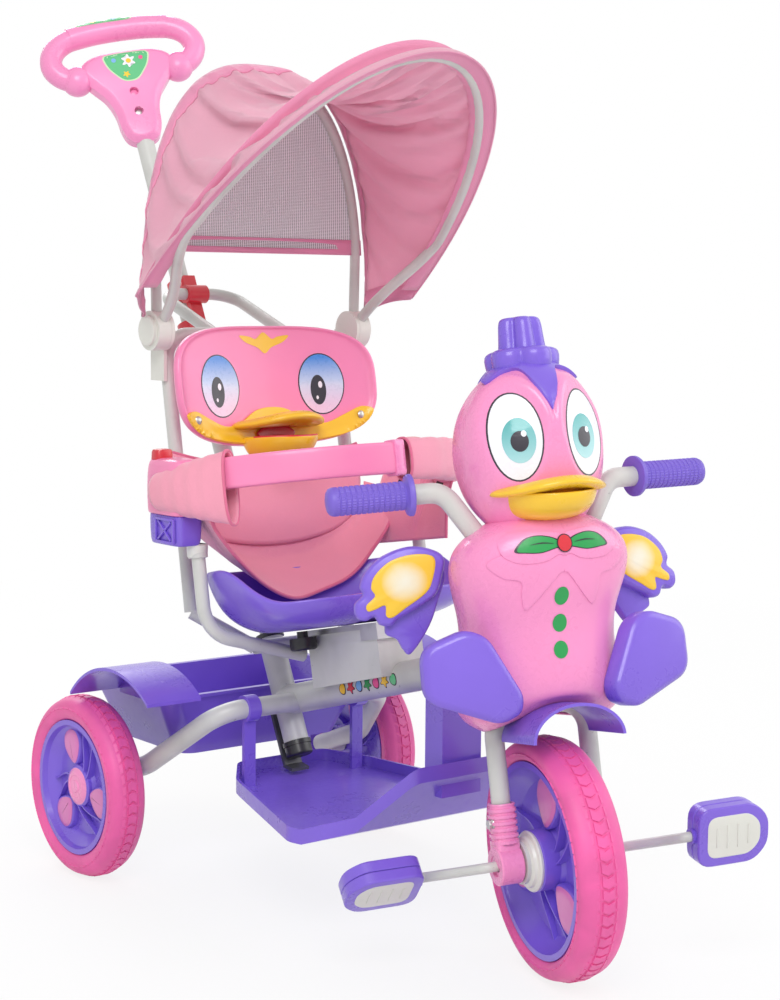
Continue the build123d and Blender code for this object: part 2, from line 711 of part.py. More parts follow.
# ---------------------------------------------------------------- canopy
BRACKET_PLATE = 4
DRUM_D = 44
DRUM_WIDTH = 16
DISC_D = 34
DISC_WIDTH = 5
PIVOT_PIN_D = 10
plate_x = SIDE_TUBE_X + SIDE_TUBE_D / 2 + SEATED
drum_x = plate_x + BRACKET_PLATE + CLEAR
pin_end_x = drum_x + DRUM_WIDTH + DISC_WIDTH - 3

with BuildPart() as canopy_brackets:
    for side, hand in SIDES:
        with BuildSketch(SIDE_VIEW.offset(side * plate_x)):
            with Locations(CANOPY_PIVOT):
                Circle(DRUM_D / 2)
            with Locations((CANOPY_PIVOT[0] + 10, CANOPY_PIVOT[1] - 28)):
                Rectangle(28, 56)
        extrude(amount=side * BRACKET_PLATE)
        rod(at(side * plate_x, *CANOPY_PIVOT), at(side * pin_end_x, *CANOPY_PIVOT), PIVOT_PIN_D)
canopy_brackets.part.label = "canopy_brackets"
export_step(canopy_brackets.part, "parts/canopy_brackets.step")

with BuildPart() as canopy_pivots:
    for side, hand in SIDES:
        pivot = wheel_frame(side * drum_x, *CANOPY_PIVOT, side)
        bore = PIVOT_PIN_D / 2 + RUNNING
        full = DRUM_WIDTH + DISC_WIDTH
        turned(
            pivot,
            [
                (bore, 0),
                (DRUM_D / 2, 0),
                (DRUM_D / 2, DRUM_WIDTH),
                (DISC_D / 2, DRUM_WIDTH),
                (DISC_D / 2, full - 1),
                (DISC_D / 2 - 2, full),
                (0, full),
                (0, full - 2),
                (bore, full - 2),
            ],
        )
canopy_pivots.part.label = "canopy_pivots"
export_step(canopy_pivots.part, "parts/canopy_pivots.step")

hoop_foot_x = drum_x + DRUM_WIDTH / 2
hoop_foot = DRUM_D / 2 - 2


def clear_of_drums():
    """Shape the feet of a hoop to the drums that they stand on."""
    with BuildSketch(SIDE_VIEW) as drum:
        with Locations(CANOPY_PIVOT):
            Circle(DRUM_D / 2 + SEATED)
    extrude(drum.sketch, amount=2 * CANOPY_PIVOT_X, both=True, mode=Mode.SUBTRACT)


def canopy_plane(rise):
    """A plane through the canopy's pivots, its y axis rising at an angle ahead of the pivots."""
    angle = radians(rise)
    return Plane(origin=at(0, *CANOPY_PIVOT), x_dir=(1, 0, 0), z_dir=(0, -sin(angle), -cos(angle)))


rear_plane = canopy_plane(90)
front_plane = canopy_plane(CANOPY_RISE)
HOOP_CORNER = 125
rear_hoop_middle = REAR_HOOP_WIDTH - 2 * HOOP_D

with BuildPart() as canopy_rear_hoop:
    half_width = rear_hoop_middle / 2
    right_half = [(-hoop_foot_x, hoop_foot, 0), (-half_width, REAR_HOOP_HEIGHT, 0)]
    left_half = [(-x, height, 0) for x, height, depth in reversed(right_half)]
    bent_tube(rear_plane, right_half + left_half, HOOP_CORNER, HOOP_D)
    clear_of_drums()
canopy_rear_hoop.part.label = "canopy_rear_hoop"
export_step(canopy_rear_hoop.part, "parts/canopy_rear_hoop.step")

with BuildPart() as canopy_front_hoop:
    half_width = FRONT_HOOP_WIDTH / 2
    knee = (-half_width, 0.45 * FRONT_HOOP_HEIGHT, 0)
    right_half = [(-hoop_foot_x, hoop_foot, 0), knee, (-half_width, FRONT_HOOP_HEIGHT, 0)]
    left_half = [(-x, height, 0) for x, height, depth in reversed(right_half)]
    bends = [60, HOOP_CORNER, HOOP_CORNER, 60]
    bent_tube(front_plane, right_half + left_half, bends, HOOP_D)
    clear_of_drums()
canopy_front_hoop.part.label = "canopy_front_hoop"
export_step(canopy_front_hoop.part, "parts/canopy_front_hoop.step")

COVER_FOOT = 40
ROOF_LIFT = 5
cover_gap = HOOP_D / 2 + CLEAR


def arch(plane, width, height, grow, foot):
    """The canopy's outline over a hoop: upright sides, round corners and a level top."""
    with BuildSketch(plane) as outline:
        with Locations((0, foot)):
            panel = Rectangle(width + 2 * grow, height + grow - foot, align=(Align.CENTER, Align.MIN))
        fillet(panel.vertices().group_by(Axis.Y)[-1], HOOP_CORNER + grow)
    return outline.sketch


with BuildPart() as canopy_cover:
    for grow, foot, mode in ((CLOTH, COVER_FOOT, Mode.ADD), (0, COVER_FOOT / 2, Mode.SUBTRACT)):
        over_rear = grow + cover_gap + 2 * CLEAR
        over_front = grow + cover_gap + ROOF_LIFT
        rear = arch(rear_plane.offset(-cover_gap), rear_hoop_middle, REAR_HOOP_HEIGHT, over_rear, foot)
        front = arch(front_plane, FRONT_HOOP_WIDTH, FRONT_HOOP_HEIGHT, over_front, foot)
        loft([rear, front], ruled=True, mode=mode)
canopy_cover.part.label = "canopy_cover"
export_step(canopy_cover.part, "parts/canopy_cover.step")

WINDOW_FOOT = 95
WINDOW_THICKNESS = 2

with BuildPart() as canopy_window:
    behind = rear_plane.offset(-cover_gap - CLEAR - WINDOW_THICKNESS)
    panel = arch(behind, rear_hoop_middle, REAR_HOOP_HEIGHT, cover_gap + CLOTH, WINDOW_FOOT)
    extrude(panel, amount=WINDOW_THICKNESS)
canopy_window.part.label = "canopy_window"
export_step(canopy_window.part, "parts/canopy_window.step")

# ---------------------------------------------------------------- fork and handlebar
fork_leg_x = FORK_SPREAD / 2
CROWN_BEND = 28
LEG_FOOT = 14
race_foot = CROWN_HEIGHT + FORK_LEG_D / 2 - 1
STEM_TOP = BAR_CLAMP_HEIGHT + 16
BAR_FORWARD = -30
BAR_SWEEP = -8

bar_right_half = [
    (-BAR_WIDTH / 2, BAR_SWEEP, BAR_HEIGHT),
    (-88, -24, BAR_HEIGHT),
    (-50, BAR_FORWARD, BAR_CLAMP_HEIGHT),
]
bar_points = bar_right_half + [(-x, depth, height) for x, depth, height in reversed(bar_right_half)]
BAR_BENDS = [24, 20, 20, 24]

with BuildPart() as upright_fork:
    leg_points = [(-fork_leg_x, 0, LEG_FOOT), (-fork_leg_x, 0, CROWN_HEIGHT)]
    leg_points += [(fork_leg_x, 0, CROWN_HEIGHT), (fork_leg_x, 0, LEG_FOOT)]
    bent_tube(Plane.XY, leg_points, CROWN_BEND, FORK_LEG_D)
    with BuildSketch(Plane.XY.offset(CROWN_HEIGHT - 4)):
        Circle(STEM_D / 2)
    extrude(amount=STEM_TOP - CROWN_HEIGHT + 4)
    with BuildSketch(Plane.XY.offset(race_foot)):
        Circle(HEAD_TUBE_D / 2)
    extrude(amount=HEAD_TUBE_BOTTOM - CLEAR - race_foot)
    with Locations((0, BAR_FORWARD / 2, BAR_CLAMP_HEIGHT)):
        Box(36, abs(BAR_FORWARD) + 30, 2 * (STEM_TOP - BAR_CLAMP_HEIGHT))
    with BuildSketch(Plane.YZ):
        with Locations((BAR_FORWARD, BAR_CLAMP_HEIGHT)):
            Circle(BAR_D / 2 + SEATED)
    extrude(amount=20, both=True, mode=Mode.SUBTRACT)
with BuildPart() as fork:
    add(upright_fork.part.moved(STEER.location))
fork.part.label = "fork"
export_step(fork.part, "parts/fork.step")

with BuildPart() as handlebar:
    bent_tube(STEER, bar_points, BAR_BENDS, BAR_D)
handlebar.part.label = "handlebar"
export_step(handlebar.part, "parts/handlebar.step")

with BuildPart() as handlebar_grips:
    for side, hand in SIDES:
        outer_end = Vector(side * BAR_WIDTH / 2, BAR_SWEEP, BAR_HEIGHT)
        inner_end = Vector(side * 88, -24, BAR_HEIGHT)
        inward = (inner_end - outer_end).normalized()
        grip = on(STEER, Plane(origin=outer_end, z_dir=inward))
        bore = BAR_D / 2 + SEATED
        turned(
            grip,
            [
                (0, -4),
                (GRIP_D / 2 - 3, -4),
                (GRIP_D / 2, -1),
                (GRIP_D / 2, GRIP_LENGTH - 6),
                (GRIP_D / 2 + 6, GRIP_LENGTH - 4),
                (GRIP_D / 2 + 6, GRIP_LENGTH),
                (bore, GRIP_LENGTH),
                (bore, -SEATED),
                (0, -SEATED),
            ],
        )
handlebar_grips.part.label = "handlebar_grips"
export_step(handlebar_grips.part, "parts/handlebar_grips.step")

BOSS_WIDTH = 25
BOSS_D = 36
boss_inner_x = fork_leg_x - BOSS_WIDTH / 2

with BuildPart() as fork_ends:
    for side, hand in SIDES:
        with BuildSketch(on(STEER, Plane.YZ.offset(side * boss_inner_x))):
            Circle(BOSS_D / 2)
        extrude(amount=side * BOSS_WIDTH)
        with BuildSketch(STEER):
            with Locations((side * fork_leg_x, 0)):
                RectangleRounded(BOSS_WIDTH, 28, 9)
        extrude(amount=50)
        with BuildSketch(STEER.offset(LEG_FOOT - SEATED)):
            with Locations((side * fork_leg_x, 0)):
                Circle(FORK_LEG_D / 2 + SEATED)
        extrude(amount=50, mode=Mode.SUBTRACT)
        with BuildSketch(on(STEER, Plane.YZ.offset(side * 30))):
            Circle(CRANK_D / 2 + RUNNING)
        extrude(amount=side * 50, mode=Mode.SUBTRACT)
fork_ends.part.label = "fork_ends"
export_step(fork_ends.part, "parts/fork_ends.step")

# ---------------------------------------------------------------- duck figurehead
# Each level is (height, half width, half depth, how far its middle lies behind the axis).
BODY_LEVELS = (
    (134, 72, 56, 0),
    (160, 84, 66, 0),
    (195, 80, 59, -6),
    (232, 76, 51, -15),
    (265, 87, 57, -28),
    (292, 92, 60, -35),
    (314, 82, 57, -37),
    (330, 54, 48, -38),
)
HEAD_LEVELS = (
    (331, 50, 46, -38),
    (350, 64, 62, -36),
    (378, 72, 70, -35),
    (408, 73, 71, -35),
    (440, 64, 62, -38),
    (466, 44, 43, -42),
    (482, 18, 18, -44),
)
SHELL = 4


def egg(levels, grow):
    """A smooth body through oval levels, grown outward."""
    ovals = []
    for height, half_width, half_depth, behind in levels:
        with BuildSketch(STEER.offset(height)) as level:
            with Locations((0, behind)):
                Ellipse(half_width + grow, half_depth + grow)
        ovals.append(level.sketch)
    loft(ovals)


def swept_back(side, sweep, ahead):
    """An upright plane that faces forward, its outer side swept back."""
    angle = radians(sweep)
    across = (cos(angle), side * sin(angle), 0)
    return on(STEER, Plane(origin=(0, -ahead, 0), x_dir=across, z_dir=(side * sin(angle), -cos(angle), 0)))


with BuildPart() as body_envelope:
    egg(BODY_LEVELS, SEATED)

open_foot = ((BODY_LEVELS[0][0] - 2,) + BODY_LEVELS[0][1:],)

with BuildPart() as body_hollow:
    egg(open_foot + BODY_LEVELS[1:], -SHELL)

with BuildPart() as head_envelope:
    egg(HEAD_LEVELS, SEATED)

HOOD_HALF = 48
HOOD_EDGE = 120
HOOD_CREST = 154
HOOD_REACH = 90
HOOD_REAR = 13
HOOD_WALL = 3


def hood_section(grow, mode=Mode.ADD):
    """The arched section of the mudguard, from its edges up to its crest."""
    with Locations((0, HOOD_EDGE)):
        Ellipse(HOOD_HALF + grow, HOOD_CREST - HOOD_EDGE + grow, mode=mode)


with BuildPart() as hood_envelope:
    with BuildSketch(on(STEER, Plane.XZ.offset(HOOD_REAR - 1))):
        hood_section(SEATED)
    extrude(amount=HOOD_REACH)

turn_side = sin(radians(STEER_MAX))
turn_back = cos(radians(STEER_MAX))
slot_half = MAIN_TUBE_D / 2 + 5
SLOT_DEPTH = 110

with BuildPart() as duck_body:
    egg(BODY_LEVELS, 0)
    # The main tube sweeps through this opening as the bar turns.
    with BuildSketch(STEER.offset(HEAD_TUBE_BOTTOM - 6)):
        with BuildLine():
            near = (slot_half * turn_back, -slot_half * turn_side)
            far = (near[0] + SLOT_DEPTH * turn_side, near[1] + SLOT_DEPTH * turn_back)
            Polyline(near, far, (-far[0], far[1]), (-near[0], near[1]), close=True)
        make_face()
    extrude(amount=HEAD_TUBE_TOP - HEAD_TUBE_BOTTOM + 12, mode=Mode.SUBTRACT)
    add(body_hollow.part, mode=Mode.SUBTRACT)
    add(hood_envelope.part, mode=Mode.SUBTRACT)
    # The handlebar rises through a hole in each shoulder, and the clamp through the neck.
    for start, end in (bar_points[2:0:-1], bar_points[3:5]):
        with BuildSketch(on(STEER, Plane(origin=start, z_dir=Vector(*end) - Vector(*start)))):
            Circle(BAR_D / 2 + 1)
        extrude(amount=(Vector(*end) - Vector(*start)).length, mode=Mode.SUBTRACT)
    with BuildSketch(STEER.offset(BAR_CLAMP_HEIGHT - 40)):
        with Locations((0, BAR_FORWARD / 2)):
            Rectangle(38, abs(BAR_FORWARD) + 32)
    extrude(amount=100, mode=Mode.SUBTRACT)
duck_body.part.label = "duck_body"
export_step(duck_body.part, "parts/duck_body.step")

with BuildPart() as duck_head:
    egg(HEAD_LEVELS, 0)
duck_head.part.label = "duck_head"
export_step(duck_head.part, "parts/duck_head.step")

BILL_FOOT = 332
BILL_HEIGHT = 36
BILL_HALF = 60

with BuildPart() as duck_bill:
    with BuildSketch(STEER.offset(BILL_FOOT)):
        with Locations((0, -80)):
            Ellipse(BILL_HALF, 56)
        with Locations((0, -72)):
            Rectangle(4 * BILL_HALF, 4 * BILL_HALF, align=(Align.CENTER, Align.MIN), mode=Mode.SUBTRACT)
    extrude(amount=BILL_HEIGHT)
    fillet(duck_bill.edges().filter_by(GeomType.ELLIPSE), 8)
    with BuildSketch(STEER.offset(BILL_FOOT + 6)):
        with Locations((0, -60)):
            Rectangle(70, 60)
    extrude(amount=BILL_HEIGHT - 12)
    add(head_envelope.part, mode=Mode.SUBTRACT)
    add(body_envelope.part, mode=Mode.SUBTRACT)
duck_bill.part.label = "duck_bill"
export_step(duck_bill.part, "parts/duck_bill.step")

CREST_HALF = 52
KNOB_TOP = 526
KNOB_HALF = 22
CREST_BEHIND = -44

with BuildPart() as duck_crest:
    crest = on(STEER, Plane(origin=(0, CREST_BEHIND, 0)))
    turned(
        crest,
        [
            (0, 455),
            (CREST_HALF, 458),
            (CREST_HALF, 466),
            (CREST_HALF - 12, 480),
            (KNOB_HALF, 488),
            (KNOB_HALF, KNOB_TOP),
            (0, KNOB_TOP),
        ],
    )
    add(head_envelope.part, mode=Mode.SUBTRACT)
duck_crest.part.label = "duck_crest"
export_step(duck_crest.part, "parts/duck_crest.step")

BOW_HALF = 50
BOW_FOOT = 294
BOW_HEIGHT = 26
BOW_PROUD = 6

with BuildPart() as bow_outer:
    egg(BODY_LEVELS, BOW_PROUD)

with BuildPart() as duck_bow:
    with BuildSketch(STEER.offset(BOW_FOOT)):
        with Locations((0, -90)):
            Rectangle(2 * BOW_HALF, 60)
    extrude(amount=BOW_HEIGHT)
    add(bow_outer.part, mode=Mode.INTERSECT)
    add(body_envelope.part, mode=Mode.SUBTRACT)
duck_bow.part.label = "duck_bow"
export_step(duck_bow.part, "parts/duck_bow.step")

WING_SWEEP = 13
WING_THICKNESS = 14
WING_OUTLINE = (
    (66, 262),
    (84, 306),
    (112, 316),
    (140, 308),
    (166, 284),
    (176, 258),
    (156, 244),
    (138, 213),
    (110, 232),
    (92, 254),
)

with BuildPart() as duck_wings:
    for side, hand in SIDES:
        wing = swept_back(side, WING_SWEEP, 0)
        with BuildSketch(wing):
            with BuildLine():
                Polyline(*[(side * x, height) for x, height in WING_OUTLINE], close=True)
            wing_face = make_face()
            fillet(wing_face.vertices(), 7)
        extrude(amount=WING_THICKNESS / 2, both=True)
    add(body_envelope.part, mode=Mode.SUBTRACT)
duck_wings.part.label = "duck_wings"
export_step(duck_wings.part, "parts/duck_wings.step")

FOOT_THICKNESS = 20
FOOT_SWEEP = 14
FOOT_AHEAD = 74
FOOT_OUTLINE = ((32, 158), (46, 142), (62, 142), (120, 176), (124, 190), (112, 222), (72, 232), (60, 226))

with BuildPart() as duck_feet:
    for side, hand in SIDES:
        sole = swept_back(side, FOOT_SWEEP, FOOT_AHEAD + 10)
        with BuildSketch(sole):
            with BuildLine():
                Polyline(*[(side * x, height) for x, height in FOOT_OUTLINE], close=True)
            foot_face = make_face()
            fillet(foot_face.vertices(), 8)
        extrude(amount=-FOOT_THICKNESS)
        with BuildSketch(sole):
            with Locations((side * 42, 172)):
                Circle(13)
        extrude(amount=-50)
    add(body_envelope.part, mode=Mode.SUBTRACT)
duck_feet.part.label = "duck_feet"
export_step(duck_feet.part, "parts/duck_feet.step")

with BuildPart() as mudguard:
    with BuildSketch(on(STEER, Plane.XZ.offset(HOOD_REAR))):
        hood_section(0)
        hood_section(-HOOD_WALL, mode=Mode.SUBTRACT)
        with Locations((0, HOOD_EDGE)):
            Rectangle(4 * HOOD_HALF, 100, align=(Align.CENTER, Align.MAX), mode=Mode.SUBTRACT)
    extrude(amount=HOOD_REACH - HOOD_REAR)
mudguard.part.label = "mudguard"
export_step(mudguard.part, "parts/mudguard.step")

# ---------------------------------------------------------------- front wheel and pedals
front_wheel = on(STEER, Plane.YZ)
hub_half = boss_inner_x - 5
FRONT_HUB_D = 52
CRANK_BEND_X = 74
PEDAL_RUN_X = PEDAL_INNER_X - 8
PIN_END_X = PEDAL_INNER_X + PEDAL_LENGTH - 5
front_rim_radius = FRONT_WHEEL_D / 2 - FRONT_TYRE_DEPTH - SEATED

with BuildPart() as front_tyre:
    tyre(front_wheel, FRONT_WHEEL_D, FRONT_TYRE_DEPTH, FRONT_TYRE_WIDTH)
front_tyre.part.label = "front_tyre"
export_step(front_tyre.part, "parts/front_tyre.step")

with BuildPart() as front_rim:
    crank_bore = CRANK_D / 2 + SEATED
    barrel_width = FRONT_TYRE_WIDTH - 6
    hub_ends = (-hub_half, hub_half)
    wheel_rim(front_wheel, front_rim_radius, barrel_width, FRONT_HUB_D / 2, hub_ends, crank_bore)
front_rim.part.label = "front_rim"
export_step(front_rim.part, "parts/front_rim.step")

throw_y = CRANK_THROW * cos(radians(CRANK_ANGLE))
throw_z = CRANK_THROW * sin(radians(CRANK_ANGLE))

with BuildPart() as crank:
    right_half = [(-PIN_END_X, -throw_y, -throw_z), (-PEDAL_RUN_X, -throw_y, -throw_z), (-CRANK_BEND_X, 0, 0)]
    left_half = [(-x, -depth, -height) for x, depth, height in reversed(right_half)]
    bent_tube(STEER, right_half + left_half, [10, 10, 10, 10], CRANK_D)
    for side, hand in SIDES:
        with BuildSketch(on(STEER, Plane.YZ.offset(side * (hub_half + SEATED)))):
            Circle(FRONT_HUB_D / 2 - 5)
        extrude(amount=side * (boss_inner_x - hub_half - SEATED - CLEAR))
crank.part.label = "crank"
export_step(crank.part, "parts/crank.step")

PEDAL_TILT = {"right": -35, "left": -75}

for side, hand in SIDES:
    tilt = radians(PEDAL_TILT[hand])
    middle = (side * PEDAL_INNER_X, side * throw_y, side * throw_z)
    pin = on(STEER, Plane(origin=middle, x_dir=(0, cos(tilt), sin(tilt)), z_dir=(side, 0, 0)))
    with BuildPart() as pedal:
        with BuildSketch(pin):
            RectangleRounded(PEDAL_DEPTH, PEDAL_THICKNESS, 8)
        extrude(amount=PEDAL_LENGTH)
        fillet(pedal.faces().sort_by(Axis(pin.origin, pin.z_dir))[-1].edges(), 6)
        with BuildSketch(pin):
            Circle(CRANK_D / 2 + RUNNING)
        extrude(amount=PIN_END_X - PEDAL_INNER_X + CLEAR, mode=Mode.SUBTRACT)
    pedal.part.label = f"{hand}_pedal"
    export_step(pedal.part, f"parts/{hand}_pedal.step")

# ---------------------------------------------------------------- rear wheels
REAR_HUB_D = 48
CAP_D = 44
rear_rim_radius = REAR_WHEEL_D / 2 - REAR_TYRE_DEPTH - SEATED

for side, hand in SIDES:
    rear_wheel = wheel_frame(side * wheel_x, 0, axle_height, side)

    with BuildPart() as rear_tyre:
        tyre(rear_wheel, REAR_WHEEL_D, REAR_TYRE_DEPTH, REAR_TYRE_WIDTH)
    rear_tyre.part.label = f"{hand}_rear_tyre"
    export_step(rear_tyre.part, f"parts/{hand}_rear_tyre.step")

    with BuildPart() as rear_rim:
        axle_bore = REAR_AXLE_D / 2 + RUNNING
        barrel_width = REAR_TYRE_WIDTH - 4
        hub_ends = (hub_inner, hub_outer)
        wheel_rim(rear_wheel, rear_rim_radius, barrel_width, REAR_HUB_D / 2, hub_ends, axle_bore)
    rear_rim.part.label = f"{hand}_rear_rim"
    export_step(rear_rim.part, f"parts/{hand}_rear_rim.step")

    with BuildPart() as hub_cap:
        with BuildSketch(rear_wheel.offset(hub_outer)):
            Circle(CAP_D / 2)
        extrude(amount=5)
        fillet(hub_cap.faces().sort_by(Axis(rear_wheel.origin, rear_wheel.z_dir))[-1].edges(), 3)
    hub_cap.part.label = f"{hand}_hub_cap"
    export_step(hub_cap.part, f"parts/{hand}_hub_cap.step")

# ---------------------------------------------------------------- push bar
CAP_LENGTH = 12
POLE_FOOT_DROP = BUSHING_HEIGHT + 3
HANDLE_NECK = 36
HANDLE_SOCKET = 50
HANDLE_OFFSET = 6  # the hand opening sits this much above the middle of the ring, the ring as much below

with BuildPart() as push_pole:
    with BuildSketch(POLE.offset(-POLE_FOOT_DROP)):
        Circle(POLE_D / 2)
    extrude(amount=POLE_LENGTH + POLE_FOOT_DROP)
push_pole.part.label = "push_pole"
export_step(push_pole.part, "parts/push_pole.step")

with BuildPart() as pole_cap:
    with BuildSketch(POLE.offset(-BUSHING_HEIGHT - CLEAR)):
        Circle(SLEEVE_D / 2 + 1)
    extrude(amount=-CAP_LENGTH)
    fillet(pole_cap.edges().sort_by(Axis.Z)[0], 3)
    with BuildSketch(POLE.offset(-POLE_FOOT_DROP)):
        Circle(POLE_D / 2 + SEATED)
    extrude(amount=POLE_FOOT_DROP, mode=Mode.SUBTRACT)
pole_cap.part.label = "pole_cap"
export_step(pole_cap.part, "parts/pole_cap.step")

ring_middle = POLE_LENGTH + HANDLE_HEIGHT / 2
hand_half_width = HANDLE_WIDTH / 2 - HANDLE_THICKNESS
hand_half_height = HANDLE_HEIGHT / 2 - HANDLE_THICKNESS - HANDLE_OFFSET

with BuildPart() as push_handle:
    with BuildSketch(on(POLE, Plane.XZ)):
        with Locations((0, ring_middle - HANDLE_OFFSET)):
            Ellipse(HANDLE_WIDTH / 2, HANDLE_HEIGHT / 2)
        with Locations((0, POLE_LENGTH - 10)):
            RectangleRounded(HANDLE_NECK, 60, 8)
        with Locations((0, ring_middle + HANDLE_OFFSET)):
            Ellipse(hand_half_width, hand_half_height, mode=Mode.SUBTRACT)
    extrude(amount=HANDLE_THICKNESS / 2, both=True)
    with BuildSketch(POLE.offset(POLE_LENGTH - HANDLE_SOCKET)):
        Circle(POLE_D / 2 + SEATED)
    extrude(amount=HANDLE_SOCKET + SEATED, mode=Mode.SUBTRACT)
push_handle.part.label = "push_handle"
export_step(push_handle.part, "parts/push_handle.step")
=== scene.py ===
# %% [markdown]
# # A child's tricycle with a duck on its nose
# The tricycle arrives as a fixed frame of plain CAD solids, each already in its place.
# This notebook dresses that frame: foam tyres with real tread, glossy mouldings, a stitched nylon canopy,
# a padded cloth seat liner, and the duck's layered eyes. Every piece is built in metres, where the frame
# says it belongs, and then rides on the frame's moving body.

# %% Load the frame
import json
from math import atan2, cos, degrees, pi, radians, sin, sqrt

import bmesh
import bpy
from mathutils import Matrix, Vector
from mathutils.bvhtree import BVHTree


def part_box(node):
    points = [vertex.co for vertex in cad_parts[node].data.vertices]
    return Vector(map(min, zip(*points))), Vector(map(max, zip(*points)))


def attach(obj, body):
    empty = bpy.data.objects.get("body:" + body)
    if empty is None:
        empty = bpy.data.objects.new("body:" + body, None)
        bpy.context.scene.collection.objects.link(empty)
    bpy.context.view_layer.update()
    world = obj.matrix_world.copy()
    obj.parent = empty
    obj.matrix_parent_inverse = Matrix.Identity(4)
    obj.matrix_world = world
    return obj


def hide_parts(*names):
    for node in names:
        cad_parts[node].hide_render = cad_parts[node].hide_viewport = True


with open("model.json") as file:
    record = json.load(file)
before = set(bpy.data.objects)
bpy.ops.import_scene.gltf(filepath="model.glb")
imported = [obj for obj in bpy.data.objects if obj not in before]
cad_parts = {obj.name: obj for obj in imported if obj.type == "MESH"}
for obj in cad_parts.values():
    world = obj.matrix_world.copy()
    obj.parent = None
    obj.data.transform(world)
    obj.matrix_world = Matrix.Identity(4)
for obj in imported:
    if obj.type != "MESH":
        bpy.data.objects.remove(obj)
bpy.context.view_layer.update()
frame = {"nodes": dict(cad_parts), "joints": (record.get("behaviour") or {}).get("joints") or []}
nodes = frame["nodes"]
joints = {joint["name"]: joint for joint in frame["joints"]}

# %% [markdown]
# ## Local frames
# The fork leans back and is parked a little turned, so the duck is far easier to model upright and
# straight. Each leaning group gets a matrix made from its own joints: origin on the joint, z up the axis.
# A piece is modelled in that tidy frame and moved once, at the end, by the matrix.


# %% Frames for the fork and the push bar
def frame_from(origin, up, across):
    """A matrix with its origin at a point, z along up and x as near across as it can be."""
    z = Vector(up).normalized()
    y = z.cross(Vector(across)).normalized()
    x = y.cross(z)
    return Matrix.Translation(Vector(origin)) @ Matrix((x, y, z)).transposed().to_4x4()


WORLD = Matrix.Identity(4)
steer = joints["steering"]
axle = joints["front_wheel_spin"]
pole = joints["push_bar_steer"]
STEER = frame_from(steer["pos_m"], steer["axis"], axle["axis"])
POLE_TURN = radians(-25)
pole_across = Matrix.Rotation(POLE_TURN, 3, Vector(pole["axis"])) @ Vector((1, 0, 0))
POLE = frame_from(pole["pos_m"], pole["axis"], pole_across)
print("fork leans", round(degrees(Vector(steer["axis"]).angle(Vector((0, 0, 1)))), 1), "degrees")

# %% [markdown]
# ## Shader arithmetic
# Procedural materials are sums and products of fields: noise here, a wave there, a mask between them.
# Writing them as node links is slow to read, so a small class wraps a socket and lets Python's own
# operators add the Math nodes. `Finish` holds one material and adds any other node by its type.


# %% A socket that can be added, multiplied and compared
COLOR_MIX_INPUTS, COLOR_MIX_OUTPUT = (0, 6, 7), 2  # the Mix node's factor and two colours, and its colour out


class Field:
    """One output of a node, which Python's own operators turn into more nodes."""

    def __init__(self, finish, socket):
        self.finish = finish
        self.socket = socket

    def math(self, operation, *others):
        values = [self] + list(others)
        return self.finish.node("ShaderNodeMath", {"operation": operation}, dict(enumerate(values)))

    def __add__(self, other):
        return self.math("ADD", other)

    def __sub__(self, other):
        return self.math("SUBTRACT", other)

    def __rsub__(self, other):
        return (self * -1) + other

    def __mul__(self, other):
        return self.math("MULTIPLY", other)

    def __truediv__(self, other):
        return self.math("DIVIDE", other)

    def __gt__(self, other):
        return self.math("GREATER_THAN", other)

    __radd__, __rmul__ = __add__, __mul__

    def abs(self):
        return self.math("ABSOLUTE")

    def sine(self):
        return self.math("SINE")

    def between(self, low, high):
        """0 below low, 1 above high, and a straight ramp between them."""
        settings = {"clamp": True}
        links = {"Value": self, "From Min": low, "From Max": high}
        return self.finish.node("ShaderNodeMapRange", settings, links)


